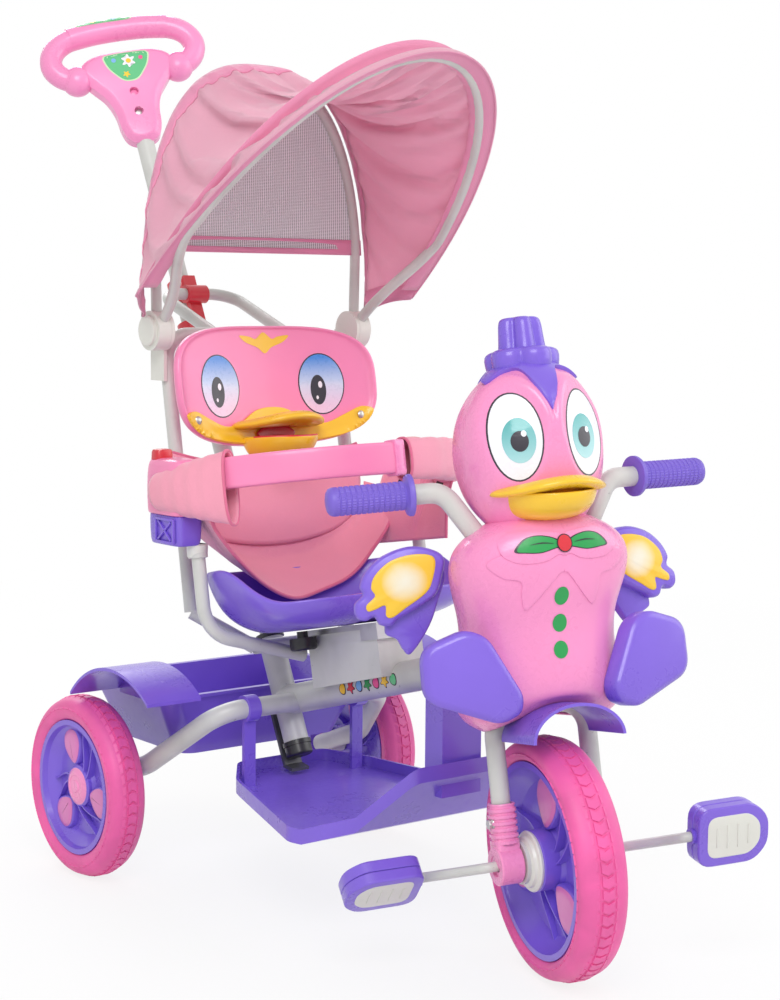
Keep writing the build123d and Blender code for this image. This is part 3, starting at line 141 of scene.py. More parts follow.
class Finish:
    """One material, with its Principled shader and the nodes that feed it."""

    def __init__(self, name, color, roughness=0.4, **constants):
        self.material = bpy.data.materials.new(name)
        self.material.use_nodes = True
        self.tree = self.material.node_tree
        self.shader = self.tree.nodes["Principled BSDF"]
        self.material.diffuse_color = (*color, 1)
        self.set("Base Color", (*color, 1))
        self.set("Roughness", roughness)
        for socket, value in constants.items():
            self.set(socket.replace("_", " ").title(), value)

    def set(self, socket, value):
        if isinstance(value, Field):
            self.tree.links.new(value.socket, self.shader.inputs[socket])
        else:
            self.shader.inputs[socket].default_value = value

    def node(self, kind, settings=None, links=None, output=0):
        made = self.tree.nodes.new(kind)
        for key, value in (settings or {}).items():
            setattr(made, key, value)
        for key, value in (links or {}).items():
            if isinstance(value, Field):
                self.tree.links.new(value.socket, made.inputs[key])
            else:
                made.inputs[key].default_value = value
        return Field(self, made.outputs[output])

    def place(self):
        return self.node("ShaderNodeTexCoord", output="Object")

    def noise(self, scale, detail=3, distortion=0.0):
        links = {"Vector": self.place(), "Scale": scale, "Detail": detail, "Distortion": distortion}
        return self.node("ShaderNodeTexNoise", None, links)

    def axes(self, vector=None):
        split = self.node("ShaderNodeSeparateXYZ", None, {"Vector": vector or self.place()})
        outputs = split.socket.node.outputs
        return [Field(self, outputs[axis]) for axis in "XYZ"]

    def turned(self, matrix):
        """Object coordinates seen from a local frame, so a pattern can follow a leaning piece."""
        back = matrix.inverted()
        links = {"Vector": self.place(), "Location": back.translation, "Rotation": back.to_euler()}
        return self.node("ShaderNodeMapping", {"vector_type": "POINT"}, links)

    def blend(self, amount, first, second):
        """Mix two colours, each a plain colour or a field, by an amount."""
        colors = [color if isinstance(color, Field) else (*color, 1) for color in (first, second)]
        links = dict(zip(COLOR_MIX_INPUTS, [amount] + colors))
        return self.node("ShaderNodeMix", {"data_type": "RGBA"}, links, COLOR_MIX_OUTPUT)

    def bump(self, height, distance, strength=1.0):
        links = {"Height": height, "Distance": distance, "Strength": strength}
        self.set("Normal", self.node("ShaderNodeBump", None, links))

    def mix_in(self, other, amount):
        """Mix another shader into this one by a factor, at the material's output."""
        mixer = self.node("ShaderNodeMixShader", None, {"Fac": amount}).socket.node
        output = next(node for node in self.tree.nodes if node.type == "OUTPUT_MATERIAL")
        self.tree.links.new(self.shader.outputs[0], mixer.inputs[1])
        self.tree.links.new(other.socket, mixer.inputs[2])
        self.tree.links.new(mixer.outputs[0], output.inputs["Surface"])


def shade(color, factor):
    """A darker or lighter neighbour of a colour."""
    return tuple(min(1.0, channel * factor) for channel in color)


# %% [markdown]
# ## Moulded plastic
# Blow-moulded toy plastic is glossy but never optically flat. It carries a faint orange-peel swell, a fine
# grain from the mould, slow colour drift, and a veil of tiny scuffs that only shows in the roughness.
# All four are noise fields at their real sizes, so one function makes every moulded colour on the tricycle.


# %% One function for every moulded colour
def moulded(name, color, roughness=0.3, swell=0.00006, coat=0.25):
    """Glossy toy plastic, with drift, scuffs and a faint swell."""
    finish = Finish(name, color, roughness, coat_weight=coat, coat_roughness=0.12)
    drift = finish.noise(9, 2)
    scuffs = finish.noise(140, 5, 0.6)
    grain = finish.noise(2600, 2)
    peel = finish.noise(60, 2)
    tint = finish.blend(drift.between(0.3, 0.7), shade(color, 0.93), shade(color, 1.05))
    finish.set("Base Color", tint)
    finish.set("Roughness", roughness + scuffs.between(0.45, 0.8) * 0.16 + (drift - 0.5) * 0.08)
    finish.bump(peel + grain * 0.06, swell)
    return finish.material


def rgb(red, green, blue):
    """A paint colour from its everyday 0 to 255 values, turned into the linear light Blender works in."""
    return tuple(((c / 255 + 0.055) / 1.055) ** 2.4 if c > 10 else c / 255 / 12.92 for c in (red, green,
                                                                                             blue))


DUCK_PINK = rgb(246, 148, 198)
PURPLE = rgb(126, 96, 214)
PANEL_PINK = rgb(247, 140, 186)
duck_pink = moulded("duck pink", DUCK_PINK, 0.27)
panel_pink = moulded("panel pink", PANEL_PINK, 0.3)
purple = moulded("purple moulding", PURPLE, 0.28)
soft_purple = moulded("soft purple grip", rgb(122, 98, 205), 0.45, 0.0001, 0.05)
paddle_pink = moulded("wheel paddle pink", rgb(222, 124, 188), 0.34)
bill_yellow = moulded("bill yellow", rgb(248, 200, 44), 0.28)
bill_orange = moulded("bill orange", rgb(238, 150, 24), 0.35)
red = moulded("button red", rgb(214, 44, 58), 0.3)
green = moulded("leaf green", rgb(34, 156, 78), 0.4, 0.0001, 0.1)
white = moulded("eye white", rgb(240, 238, 246), 0.22, 0.0001, 0.4)
ink = moulded("ink", rgb(32, 24, 42), 0.3, 0.0001, 0.3)
pale_grey = moulded("pale grey plastic", rgb(222, 222, 214), 0.38)
black = moulded("black plastic", rgb(30, 30, 33), 0.42)
dark_grey = moulded("latch grey", rgb(78, 78, 82), 0.45)

# %% [markdown]
# ## Powder coat, plated steel and foam
# The tubes wear a thin warm-white powder coat with a pebbled skin and a little grey grime in the
# low places. The bolts, screws and seat slide are plated, and their roughness is streaked.
# Foam tyres are matt and slightly porous; where they touch the ground they carry painted shade, darker in
# patches, and get dusty, which makes them rougher.


# %% Tube paint, plating and tyre foam
def powder_coat(name, color):
    """Tube paint with pebbles, grime and a few chips."""
    finish = Finish(name, color, 0.34, coat_weight=0.15, coat_roughness=0.2)
    pebbles = finish.noise(1400, 2)
    grime = finish.noise(16, 4, 0.4)
    chips = finish.noise(85, 4, 1.2) > 0.735
    painted = finish.blend(grime.between(0.45, 0.75), color, shade(color, 0.82))
    finish.set("Base Color", finish.blend(chips * 0.6, painted, shade(color, 0.5)))
    finish.set("Roughness", 0.3 + grime * 0.12 + chips * 0.25)
    finish.bump(pebbles - chips * 0.8, 0.00012)
    return finish.material


def plated(name, color):
    """Bright steel with streaked roughness."""
    finish = Finish(name, color, 0.28, metallic=0.9)
    streaks = finish.noise(320, 6, 2.0)
    haze = finish.noise(30, 3)
    finish.set("Base Color", finish.blend(haze.between(0.4, 0.7), color, shade(color, 0.8)))
    finish.set("Roughness", 0.2 + streaks * 0.2 + haze * 0.1)
    finish.bump(streaks, 0.00005)
    return finish.material


def foam(name, color):
    """Matt tyre foam, with painted shade, and dusty, where it meets the ground."""
    finish = Finish(name, color, 0.5, coat_weight=0.1, coat_roughness=0.35)
    pores = finish.noise(1900, 4)
    patches = finish.noise(22, 3, 0.5)
    height = finish.axes()[2]
    # Painted shade and dirt: within 3 cm of the floor the foam is painted darker in patches, and made rougher
    # where it is dusty.
    floor_shade_and_dust = (0.03 - height).between(0.0, 0.03) * finish.noise(70, 4).between(0.35, 0.7)
    fresh = finish.blend(patches.between(0.35, 0.7), shade(color, 0.9), shade(color, 1.06))
    finish.set("Base Color", finish.blend(floor_shade_and_dust * 0.35, fresh, shade(color, 0.62)))
    finish.set("Roughness", 0.42 + patches * 0.12 + floor_shade_and_dust * 0.3)
    finish.bump(pores * 0.5 + patches, 0.0003)
    return finish.material


tube_paint = powder_coat("tube powder coat", rgb(206, 207, 202))
steel = plated("plated steel", rgb(196, 196, 194))
tyre_foam = foam("tyre foam", rgb(238, 96, 166))

# %% [markdown]
# ## Cloth
# The canopy is a light plain-weave nylon. Its threads cross every half millimetre, so the weave is two
# sine waves that swap over and under in a chequer. Light comes through it, which is why a translucent
# shader is mixed in. The pattern follows the sheet's own UV map, laid out in metres, so it never slides.


# %% Woven cloth and open mesh
def woven(name, color, thread=0.0006, thin=0.0, fuzz=0.0, wrinkle=0.004):
    """Plain-weave cloth. thin is the share of light that comes through it."""
    finish = Finish(name, color, 0.72, sheen_weight=0.35, sheen_roughness=0.5)
    cloth_map = finish.node("ShaderNodeUVMap", {"uv_map": "cloth"})
    across, along = finish.axes(cloth_map)[:2]
    warp = (across * (2 * pi / thread)).sine()
    weft = (along * (2 * pi / thread)).sine()
    weave = warp.math("MAXIMUM", weft)
    shading = finish.noise(7, 3, 0.8)
    creases = finish.noise(26, 4, 1.6)
    dye = finish.blend(shading.between(0.3, 0.72), shade(color, 0.9), shade(color, 1.05))
    finish.set("Base Color", finish.blend(weave.between(-0.6, 1.0), shade(color, 0.82), dye))
    finish.set("Roughness", 0.62 + shading * 0.16 - weave * 0.04)
    finish.bump(weave * 0.02 + creases * 0.5 + finish.noise(500, 3) * fuzz, wrinkle * 0.25)
    if thin:
        glow = finish.node("ShaderNodeBsdfTranslucent", None, {"Color": (*shade(color, 1.05), 1)})
        finish.mix_in(glow, thin)
    return finish.material


def netting(name, color, pitch=0.0034):
    """Warp-knit mesh: round holes in staggered rows, with a raised thread between them."""
    finish = Finish(name, color, 0.6, sheen_weight=0.2)
    cloth_map = finish.node("ShaderNodeUVMap", {"uv_map": "cloth"})
    across, along = finish.axes(cloth_map)[:2]
    rows = (along * (2 * pi / pitch)).sine()
    columns = (across * (2 * pi / pitch * 0.58)).sine()
    field = rows * columns
    hole = field.abs().between(0.35, 0.55)
    # The holes are half see-through, and their darker grey is painted shade, standing for the dark seen
    # through them.
    finish.set("Base Color", finish.blend(hole, color, shade(color, 0.66)))
    finish.set("Alpha", 1 - hole * 0.5)
    finish.set("Roughness", 0.55 + finish.noise(60) * 0.15)
    finish.bump(1 - hole, 0.0004)
    return finish.material


canopy_cloth = woven("canopy nylon", rgb(251, 196, 216), 0.0007, 0.3)
canopy_binding = woven("canopy binding", rgb(249, 160, 196), 0.0009, 0.1)
liner_cloth = woven("liner cloth", rgb(249, 163, 186), 0.0009, 0.0, 0.3)
liner_piping = woven("liner piping", rgb(236, 120, 156), 0.0009, 0.0, 0.3)
mesh_cloth = netting("window mesh", rgb(232, 232, 236))

# %% [markdown]
# ## Small modelling helpers
# Every piece ends the same way: its bmesh is placed, its normals are made to face out, hard edges are marked
# sharp, and the object rides on a body. Lofts bridge one ring to the next, turned shapes are spun, and thin
# prints are laid on a curved skin by casting a ray through each of their corners.


# %% Finish a bmesh as a piece of the tricycle
def piece(bm, name, body, material, place=WORLD, replaces=(), sharp=40, levels=0, bevel=0.0, recalc=True):
    """Place a bmesh, turn its normals out, mark its hard edges, and let it ride on a body."""
    bmesh.ops.remove_doubles(bm, verts=bm.verts, dist=0.000001)
    bm.transform(place)
    if recalc:
        bmesh.ops.recalc_face_normals(bm, faces=bm.faces)
    for face in bm.faces:
        face.smooth = True
    for edge in bm.edges:
        edge.smooth = levels > 0 or edge.calc_face_angle(0) < radians(sharp)
    mesh = bpy.data.meshes.new(name)
    bm.to_mesh(mesh)
    bm.free()
    made = bpy.data.objects.new(name, mesh)
    bpy.context.scene.collection.objects.link(made)
    for one in material if isinstance(material, (list, tuple)) else [material]:
        mesh.materials.append(one)
    if bevel:
        rounding = made.modifiers.new("rounded edges", "BEVEL")
        rounding.width = bevel
        rounding.segments = 2
        rounding.limit_method = "ANGLE"
        rounding.angle_limit = radians(sharp)
        rounding.harden_normals = False
    if levels:
        smooth = made.modifiers.new("smooth", "SUBSURF")
        smooth.levels = smooth.render_levels = levels
    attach(made, body)
    if replaces:
        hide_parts(*replaces)
    return made


def evaluated(made):
    """A fresh bmesh of a piece with its modifiers worked out."""
    graph = bpy.context.evaluated_depsgraph_get()
    graph.update()
    mesh = bpy.data.meshes.new_from_object(made.evaluated_get(graph))
    bm = bmesh.new()
    bm.from_mesh(mesh)
    bpy.data.meshes.remove(mesh)
    return bm


def settled(made):
    """Work a piece's modifiers into its own mesh, so that prints can be laid on its real skin."""
    bm = evaluated(made)
    bm.to_mesh(made.data)
    bm.free()
    made.modifiers.clear()
    for face in made.data.polygons:
        face.use_smooth = True
    return made


def walled(made, thick, offset=0):
    """Give a thin sheet a thickness: half each side, or with offset -1 all of it behind the sheet."""
    wall = made.modifiers.new("thickness", "SOLIDIFY")
    wall.thickness = thick
    wall.offset = offset


def cloth_uv(bm, rule):
    """Lay the weave's map, in metres. rule gives each corner's place on the cloth as it was cut."""
    layer = bm.loops.layers.uv.new("cloth")
    for face in bm.faces:
        for loop in face.loops:
            loop[layer].uv = rule(loop.vert.co)


def everything(bm):
    """All the corners, edges and faces, as bmesh operators want them."""
    return bm.verts[:] + bm.edges[:] + bm.faces[:]


def sheet_area(bm):
    """How much cloth a sheet takes, in square metres."""
    return sum(face.calc_area() for face in bm.faces)


# %% Rings, lofts and turned shapes
def mm(*rows):
    """A table of lengths written in millimetres, in metres."""
    return tuple(tuple(length / 1000 for length in row) for row in rows)


def power(value, exponent):
    """A signed power, which squares up a circle into a rounded box."""
    return (abs(value) ** exponent) * (1 if value >= 0 else -1)


def ring(bm, centre, half_x, half_y, square=2.0, segments=32, place=WORLD):
    """One loop for a loft: an ellipse, squarer as square grows above 2."""
    made = bmesh.ops.create_circle(bm, segments=segments, radius=1)["verts"]
    for vert in made:
        angle = atan2(vert.co.y, vert.co.x)
        x = power(cos(angle), 2 / square) * half_x
        y = power(sin(angle), 2 / square) * half_y
        vert.co = place @ (Vector(centre) + Vector((x, y, 0)))
    return made


def loop_edges(verts):
    """The edges that run between the corners of one ring."""
    chosen = set(verts)
    return [edge for edge in {e for v in verts for e in v.link_edges} if set(edge.verts) <= chosen]


def loft(bm, rings, ends=(True, True)):
    """Bridge each ring to the next and close the wanted ends."""
    for low, high in zip(rings, rings[1:]):
        bmesh.ops.bridge_loops(bm, edges=loop_edges(low) + loop_edges(high))
    for wanted, end in zip(ends, (rings[0], rings[-1])):
        if wanted:
            cap = bmesh.ops.contextual_create(bm, geom=loop_edges(end))["faces"]
            bmesh.ops.inset_region(bm, faces=cap, thickness=0.001)
            bmesh.ops.poke(bm, faces=cap)


def lofted(levels, segments=32):
    """A loft of level rings, each one (height, half width, half depth, centre depth, squareness)."""
    bm = bmesh.new()
    rings = [ring(bm, (0, mid, z), hx, hy, square, segments) for z, hx, hy, mid, square in levels]
    loft(bm, rings)
    return bm


def spun(profile, steps=64, axis=(1, 0, 0), closed=False, bm=None):
    """Turn a profile of (along, radius) points about an axis through the origin."""
    bm = bm or bmesh.new()
    axis = Vector(axis)
    side = Vector((0, 0, 1)) if abs(axis.z) < 0.9 else Vector((0, 1, 0))
    verts = [bm.verts.new(axis * along + side * radius) for along, radius in profile]
    edges = [bm.edges.new(pair) for pair in zip(verts, verts[1:])]
    if closed:
        edges.append(bm.edges.new((verts[-1], verts[0])))
    bmesh.ops.spin(bm, geom=verts + edges, axis=axis, cent=(0, 0, 0), angle=2 * pi, steps=steps,
                   use_merge=True)
    bmesh.ops.remove_doubles(bm, verts=bm.verts, dist=0.00001)
    return bm


def block(bm, centre, size, bevel=0.0, segments=2, turn=None):
    """A box with rounded edges, added to a bmesh."""
    made = bmesh.ops.create_cube(bm, size=1)["verts"]
    spin_to = turn or Matrix.Identity(4)
    matrix = Matrix.Translation(Vector(centre)) @ spin_to @ Matrix.Diagonal((*size, 1))
    bmesh.ops.transform(bm, matrix=matrix, verts=made)
    if bevel:
        edges = list({edge for vert in made for edge in vert.link_edges})
        bmesh.ops.bevel(bm, geom=edges, offset=bevel, segments=segments, affect="EDGES", profile=0.5,
                        material=-1)
    return made


# %% Outlines, pillows and prints
def outline(points, steps=6):
    """A smooth closed outline through a few points: each stretch is a Catmull-Rom curve."""
    made = []
    count = len(points)
    for index in range(count):
        p0, p1, p2, p3 = (Vector(points[(index + k) % count]) for k in (-1, 0, 1, 2))
        for step in range(steps):
            t = step / steps
            made.append(
                0.5 * (2 * p1 + (p2 - p0) * t + (2 * p0 - 5 * p1 + 4 * p2 - p3) * t**2
                       + (3 * p1 - p0 - 3 * p2 + p3) * t**3)
            )
    return made


def pillow(points, thick, dome, steps=5, spread=0.03, bm=None):
    """A plate with a domed face: the outline is raised, then inset and lifted a little less each time."""
    bm = bm or bmesh.new()
    verts = [bm.verts.new((p[0], p[1], 0)) for p in points]
    base = bm.faces.new(verts)
    base.normal_update()
    if base.normal.z < 0:
        base.normal_flip()
    raised = bmesh.ops.extrude_face_region(bm, geom=[base])["geom"]
    top = [f for f in raised if isinstance(f, bmesh.types.BMFace)]
    bmesh.ops.translate(bm, vec=(0, 0, thick), verts=[v for v in raised if isinstance(v, bmesh.types.BMVert)])
    for step in range(steps):
        lift = dome * (sin((step + 1) / steps * pi / 2) - sin(step / steps * pi / 2))
        bmesh.ops.inset_region(bm, faces=top, thickness=spread / steps * 0.5, depth=0, use_even_offset=True)
        bmesh.ops.translate(bm, vec=(0, 0, lift), verts=list({v for f in top for v in f.verts}))
    bmesh.ops.recalc_face_normals(bm, faces=bm.faces)
    return bm


def disc(points, cuts=4):
    """A flat face over an outline, cut finely enough to follow a curved skin."""
    bm = bmesh.new()
    face = bm.faces.new([bm.verts.new((p[0], p[1], 0)) for p in points])
    bmesh.ops.triangulate(bm, faces=[face])
    for _ in range(cuts):
        long_edges = [e for e in bm.edges if e.calc_length() > 0.006]
        if long_edges:
            bmesh.ops.subdivide_edges(bm, edges=long_edges, cuts=1, use_grid_fill=True)
            bmesh.ops.triangulate(bm, faces=bm.faces)
    return bm


LOOK_FROM = 0.3


def laid_on(bm, skin, place, lift, look):
    """Move each corner from its flat place to just above a skin. What looks past the skin is trimmed off."""
    tree = BVHTree.FromBMesh(skin)
    look = Vector(look).normalized()
    missed = []
    for vert in bm.verts:
        start = place @ vert.co
        hit = tree.ray_cast(start - look * LOOK_FROM, look)[0]
        if hit is None:
            missed.append(vert)
        else:
            vert.co = hit - look * lift
    bmesh.ops.delete(bm, geom=missed, context="VERTS")


def oval(centre, half_x, half_y, count=40):
    """The corners of an ellipse."""
    return [(centre[0] + half_x * cos(2 * pi * k / count), centre[1] + half_y * sin(2 * pi * k / count))
            for k in range(count)]


def tube(name, points, radius, body, material, place=WORLD, replaces=(), closed=False):
    """A round tube along a smooth route, made a mesh so that it can be placed and exported."""
    curve = bpy.data.curves.new(name, "CURVE")
    curve.dimensions = "3D"
    curve.bevel_depth = radius
    curve.bevel_resolution = 5
    curve.resolution_u = 6
    curve.use_fill_caps = True
    spline = curve.splines.new("NURBS")
    spline.points.add(len(points) - 1)
    for point, where in zip(spline.points, points):
        point.co = (*where, 1)
    spline.order_u = 3
    spline.use_endpoint_u = not closed
    spline.use_cyclic_u = closed
    holder = bpy.data.objects.new(name, curve)
    bpy.context.scene.collection.objects.link(holder)
    bm = evaluated(holder)
    bpy.data.objects.remove(holder)
    return piece(bm, name, body, material, place, replaces)


MIRROR = Matrix.Scale(-1, 4, (1, 0, 0))
FRONT = Matrix(((1, 0, 0, 0), (0, 0, -1, 0), (0, 1, 0, 0), (0, 0, 0, 1)))
SIDES = (("right", -1), ("left", 1))


def handed(side):
    """A shape drawn for the left goes over to the right by a mirror."""
    return MIRROR if side < 0 else WORLD


def paired(side, node):
    """A CAD node that holds both hands' solids is replaced once, by the left piece."""
    return (node,) if side > 0 else ()


def facing(matrix, depth):
    """Stand a flat outline upright, so that it faces the front of a local frame, at a depth."""
    return matrix @ Matrix.Translation((0, depth, 0)) @ FRONT


print("helpers ready")

# %% [markdown]
# ## Canopy
# The hood is one sheet of nylon stretched between two hoops that share a pivot, so each cross-section is an
# arch lying in a plane through that pivot. The rear arch is upright and squarer, the front one leans forward
# and is a wide ellipse. Between them the cloth is slack, so after it is cut a little large it is left to
# settle under its own weight, held along both hoops. That gives the long soft folds real nylon has.

# %% Arches of the hood
canopy_joint = joints["canopy_tilt"]
PIVOT = Vector(canopy_joint["pos_m"])
REAR_RISE, FRONT_RISE = 90, 41.6
REAR_ARCH = (0.15, 0.296, 0.015, 2.6)
FRONT_ARCH = (0.186, 0.436, 0.058, 2.0)


def on_hood(t, across, grow=0.0):
    """A point of the hood: t is 0 at the rear hoop and 1 at the front, and across runs from foot to foot."""
    half, high, foot, square = (a + (b - a) * t for a, b in zip(REAR_ARCH, FRONT_ARCH))
    rise = radians(REAR_RISE + (FRONT_RISE - REAR_RISE) * t)
    turn = pi * (1 - across)
    x = power(cos(turn), 2 / square) * (half + grow)
    up = foot + power(sin(turn), 2 / square) * (high + grow - foot)
    belly = 0.014 * sin(pi * t) * sin(pi * across)
    up -= belly
    return PIVOT + Vector((x, -cos(rise) * up, sin(rise) * up))


print("the hood's front edge reaches", [round(c, 3) for c in on_hood(1, 0.5)])

# %% Cut and hang the nylon
ACROSS, ALONG = 120, 44
PAST_HOOP = 1.035
HOOD_WIDTH, HOOD_LENGTH = 0.95, 0.36  # the cut sheet, laid flat
NYLON, NETTING = 0.0008, 0.0006


def hood_sheet():
    """The nylon as a grid on the hood, a little outside its hoops."""
    bm = bmesh.new()
    bmesh.ops.create_grid(bm, x_segments=ACROSS, y_segments=ALONG, size=0.5, calc_uvs=True)
    cloth_uv(bm, lambda co: ((co.x + 0.5) * HOOD_WIDTH, (co.y + 0.5) * HOOD_LENGTH))
    for vert in bm.verts:
        vert.co = on_hood((vert.co.y + 0.5) * PAST_HOOP, vert.co.x + 0.5, 0.004)
    return bm


sheet_bm = hood_sheet()
flat_area = sheet_area(sheet_bm)
canopy = piece(sheet_bm, "canopy_sheet", "canopy", canopy_cloth, replaces=("canopy_cover",))
held = canopy.vertex_groups.new(name="held")
rest = [vert.co.copy() for vert in canopy.data.vertices]
for vert in canopy.data.vertices:
    row = vert.index // (ACROSS + 1)
    if row in (0, ALONG - 1, ALONG):
        held.add([vert.index], 1.0, "REPLACE")


def hang(sheet, frames=24):
    """Let a sheet settle between its held rows, then keep the shape and drop the simulation."""
    cloth = sheet.modifiers.new("settle", "CLOTH")
    cloth.settings.quality = 6
    cloth.settings.mass = 0.12
    cloth.settings.tension_stiffness = 25
    cloth.settings.compression_stiffness = 25
    cloth.settings.bending_stiffness = 0.6
    cloth.settings.shrink_min = -0.025
    cloth.settings.vertex_group_mass = "held"
    cloth.point_cache.frame_start = 1
    cloth.point_cache.frame_end = frames
    scene = bpy.context.scene
    for number in range(1, frames + 1):
        scene.frame_set(number)
    bm = evaluated(sheet)
    sheet.modifiers.remove(cloth)
    bm.to_mesh(sheet.data)
    bm.free()
    scene.frame_set(1)
    for face in sheet.data.polygons:
        face.use_smooth = True


hang(canopy)
moved = max((vert.co - was).length for vert, was in zip(canopy.data.vertices, rest))
print("the nylon settled by up to", round(moved * 1000, 1), "mm over", round(flat_area, 3), "square metres")


# %% Bindings sewn along the hood's edges
def binding(sheet, name, keep, lift, material, thick=0.0012):
    """A strip cut from the sheet where keep(across, along) says so, lifted off it along its normals."""
    bm = bmesh.new()
    bm.from_mesh(sheet.data)
    gone = []
    layer = bm.loops.layers.uv["cloth"]
    for face in bm.faces:
        middle = sum((loop[layer].uv for loop in face.loops), Vector((0, 0))) / len(face.loops)
        if not keep(middle.x / HOOD_WIDTH, middle.y / HOOD_LENGTH):
            gone.append(face)
    bmesh.ops.delete(bm, geom=gone, context="FACES")
    bm.normal_update()
    for vert in bm.verts:
        vert.co += vert.normal * lift
    strip = piece(bm, name, "canopy", material, recalc=False)
    walled(strip, thick)
    return strip


outward = 1 if (canopy.data.polygons[0].normal.x < 0) == (canopy.data.polygons[0].center.x < 0) else -1
front_hem = binding(canopy, "canopy_front_hem", lambda u, v: v > 0.93, 0.0011 * outward, canopy_binding)
rear_hem = binding(canopy, "canopy_rear_hem", lambda u, v: v < 0.045, 0.0011 * outward, canopy_binding)
hoop_sleeve = binding(canopy, "canopy_hoop_sleeve", lambda u, v: v < 0.07, -0.0011 * outward, canopy_binding)
foot_hem = binding(canopy, "canopy_foot_hems", lambda u, v: min(u, 1 - u) < 0.02, 0.0013 * outward,
                   canopy_binding)
walled(canopy, NYLON)

# %% [markdown]
# The hoops follow the same two arches, a tube's radius inside the cloth, and their feet bend in to the
# pivot drums. The mesh window closes the back, with a bound hem along its foot.


# %% Hoops, window and hem
HOOP_RADIUS, HOOP_INSET = 0.006, 0.0085
DRUM_X, DRUM_RADIUS = 0.137, 0.021


def hoop(name, t, rest_node, foot):
    """One steel arch of the hood, with its feet bent in to the pivot drums."""
    arch = [on_hood(t, k / 28, -HOOP_INSET) for k in range(2, 27)]
    drum = [Vector((side * DRUM_X, PIVOT.y, PIVOT.z)) for side in (-1, 1)]
    rise = radians(REAR_RISE + (FRONT_RISE - REAR_RISE) * t)
    away = Vector((0, -cos(rise), sin(rise)))
    start = [drum[0] + away * DRUM_RADIUS, drum[0] + away * foot]
    finish = [drum[1] + away * foot, drum[1] + away * DRUM_RADIUS]
    tube(name, start + arch + finish, HOOP_RADIUS, "canopy", tube_paint, replaces=(rest_node,))


hoop("canopy_front_hoop_tube", 1.0, "canopy_front_hoop", 0.05)
hoop("canopy_rear_hoop_tube", 0.0, "canopy_rear_hoop", 0.03)


SLEEVE_START, SLEEVE_LENGTH = 0.935, 0.045


def front_sleeve(steps=10, columns=120):
    """The facing that turns under the front hoop and is sewn back to the cloth behind it."""
    bm = bmesh.new()
    bmesh.ops.create_grid(bm, x_segments=columns, y_segments=steps, size=0.5)
    cloth_uv(bm, lambda co: (co.x * HOOD_WIDTH, co.y * SLEEVE_LENGTH))
    for vert in bm.verts:
        share = vert.co.y + 0.5
        under = 0.0035 - 0.0215 * sin(pi * share) ** 0.8  # it dips under the hoop and comes back to the cloth
        pucker = 0.0007 * sin(vert.co.x * 260) * sin(pi * share)
        vert.co = on_hood(SLEEVE_START + (PAST_HOOP - SLEEVE_START) * share,
                          0.012 + (vert.co.x + 0.5) * 0.976, under + pucker)
    return bm


sleeve_bm = front_sleeve()
sleeve_area = sheet_area(sleeve_bm)
sleeve = piece(sleeve_bm, "canopy_front_sleeve", "canopy", canopy_binding)
walled(sleeve, NYLON, -1)


def window_sheet(low, high_trim, lift=0.0, rows_of=30, columns=40):
    """The panel inside the rear arch, from a level foot up to the arch."""
    half, high, foot, square = REAR_ARCH
    bm = bmesh.new()
    bmesh.ops.create_grid(bm, x_segments=columns, y_segments=rows_of, size=0.5)
    for vert in bm.verts:
        level = low + (high - high_trim - low) * (vert.co.y + 0.5)
        reach = (1 - min(1, ((level - foot) / (high - foot))) ** square) ** (1 / square)
        x = 2 * vert.co.x * (half - 0.001) * reach
        bulge = 0.004 * cos(pi * vert.co.x) * sin(pi * (vert.co.y + 0.5))
        vert.co = PIVOT + Vector((x, 0.001 + bulge + lift, level))
    cloth_uv(bm, lambda co: (co.x, co.z))
    return bm


window_bm = window_sheet(0.095, 0.0005)
window_area = sheet_area(window_bm)
window = piece(window_bm, "canopy_mesh_window", "canopy", mesh_cloth, replaces=("canopy_window",))
window_hem = piece(window_sheet(0.088, 0.19, -0.0012, 3), "canopy_window_hem", "canopy", canopy_binding)
for cloth_piece in (window, window_hem):
    walled(cloth_piece, NETTING, -1)
print("canopy done")

# %% [markdown]
# ## Foam wheels
# The tyre's carcass is a rounded section spun about the axle. Its tread is a brick pattern: a row of
# chevrons down the middle and two rows of blocks each side, each block wrapped over the crown. The blocks
# are cut from a few bevelled boxes, so their edges catch the light and the silhouette is knobbly.


# %% Tyre and tread
def tyre_profile(radius, hole, width):
    """The carcass section as (across, radius) points: a rounded box with a full round crown."""
    middle, half_deep, half_wide = (radius + hole) / 2, (radius - hole) / 2, width / 2
    points = []
    for step in range(36):
        angle = 2 * pi * step / 36
        across = power(cos(angle), 0.72) * half_wide
        away = power(sin(angle), 0.82) * half_deep
        points.append((across, middle + away))
    return points


def stamp(bm, mesh, matrix):
    """Add one more copy of a small mesh, at its place."""
    mesh.transform(matrix)
    bm.from_mesh(mesh)
    mesh.transform(matrix.inverted())


def tread_block(wide, long, chevron, slant):
    """One tread block with eased upper edges: bent to a chevron, or sheared to a slant."""
    bm = bmesh.new()
    bmesh.ops.create_grid(bm, x_segments=2, y_segments=1, size=0.5)
    top = bmesh.ops.extrude_face_region(bm, geom=bm.faces[:])["geom"]
    bmesh.ops.translate(bm, vec=(0, 0, 1), verts=[v for v in top if isinstance(v, bmesh.types.BMVert)])
    for vert in bm.verts:
        x, y = vert.co.x * wide, vert.co.y * long
        shrink = 0.86 if vert.co.z > 0.5 else 1.0
        vert.co = Vector((x * shrink, y * shrink + chevron * abs(x) + slant * x, (vert.co.z - 1) * 0.005))
    bmesh.ops.recalc_face_normals(bm, faces=bm.faces)
    mesh = bpy.data.meshes.new("tread block")
    bm.to_mesh(mesh)
    bm.free()
    return mesh


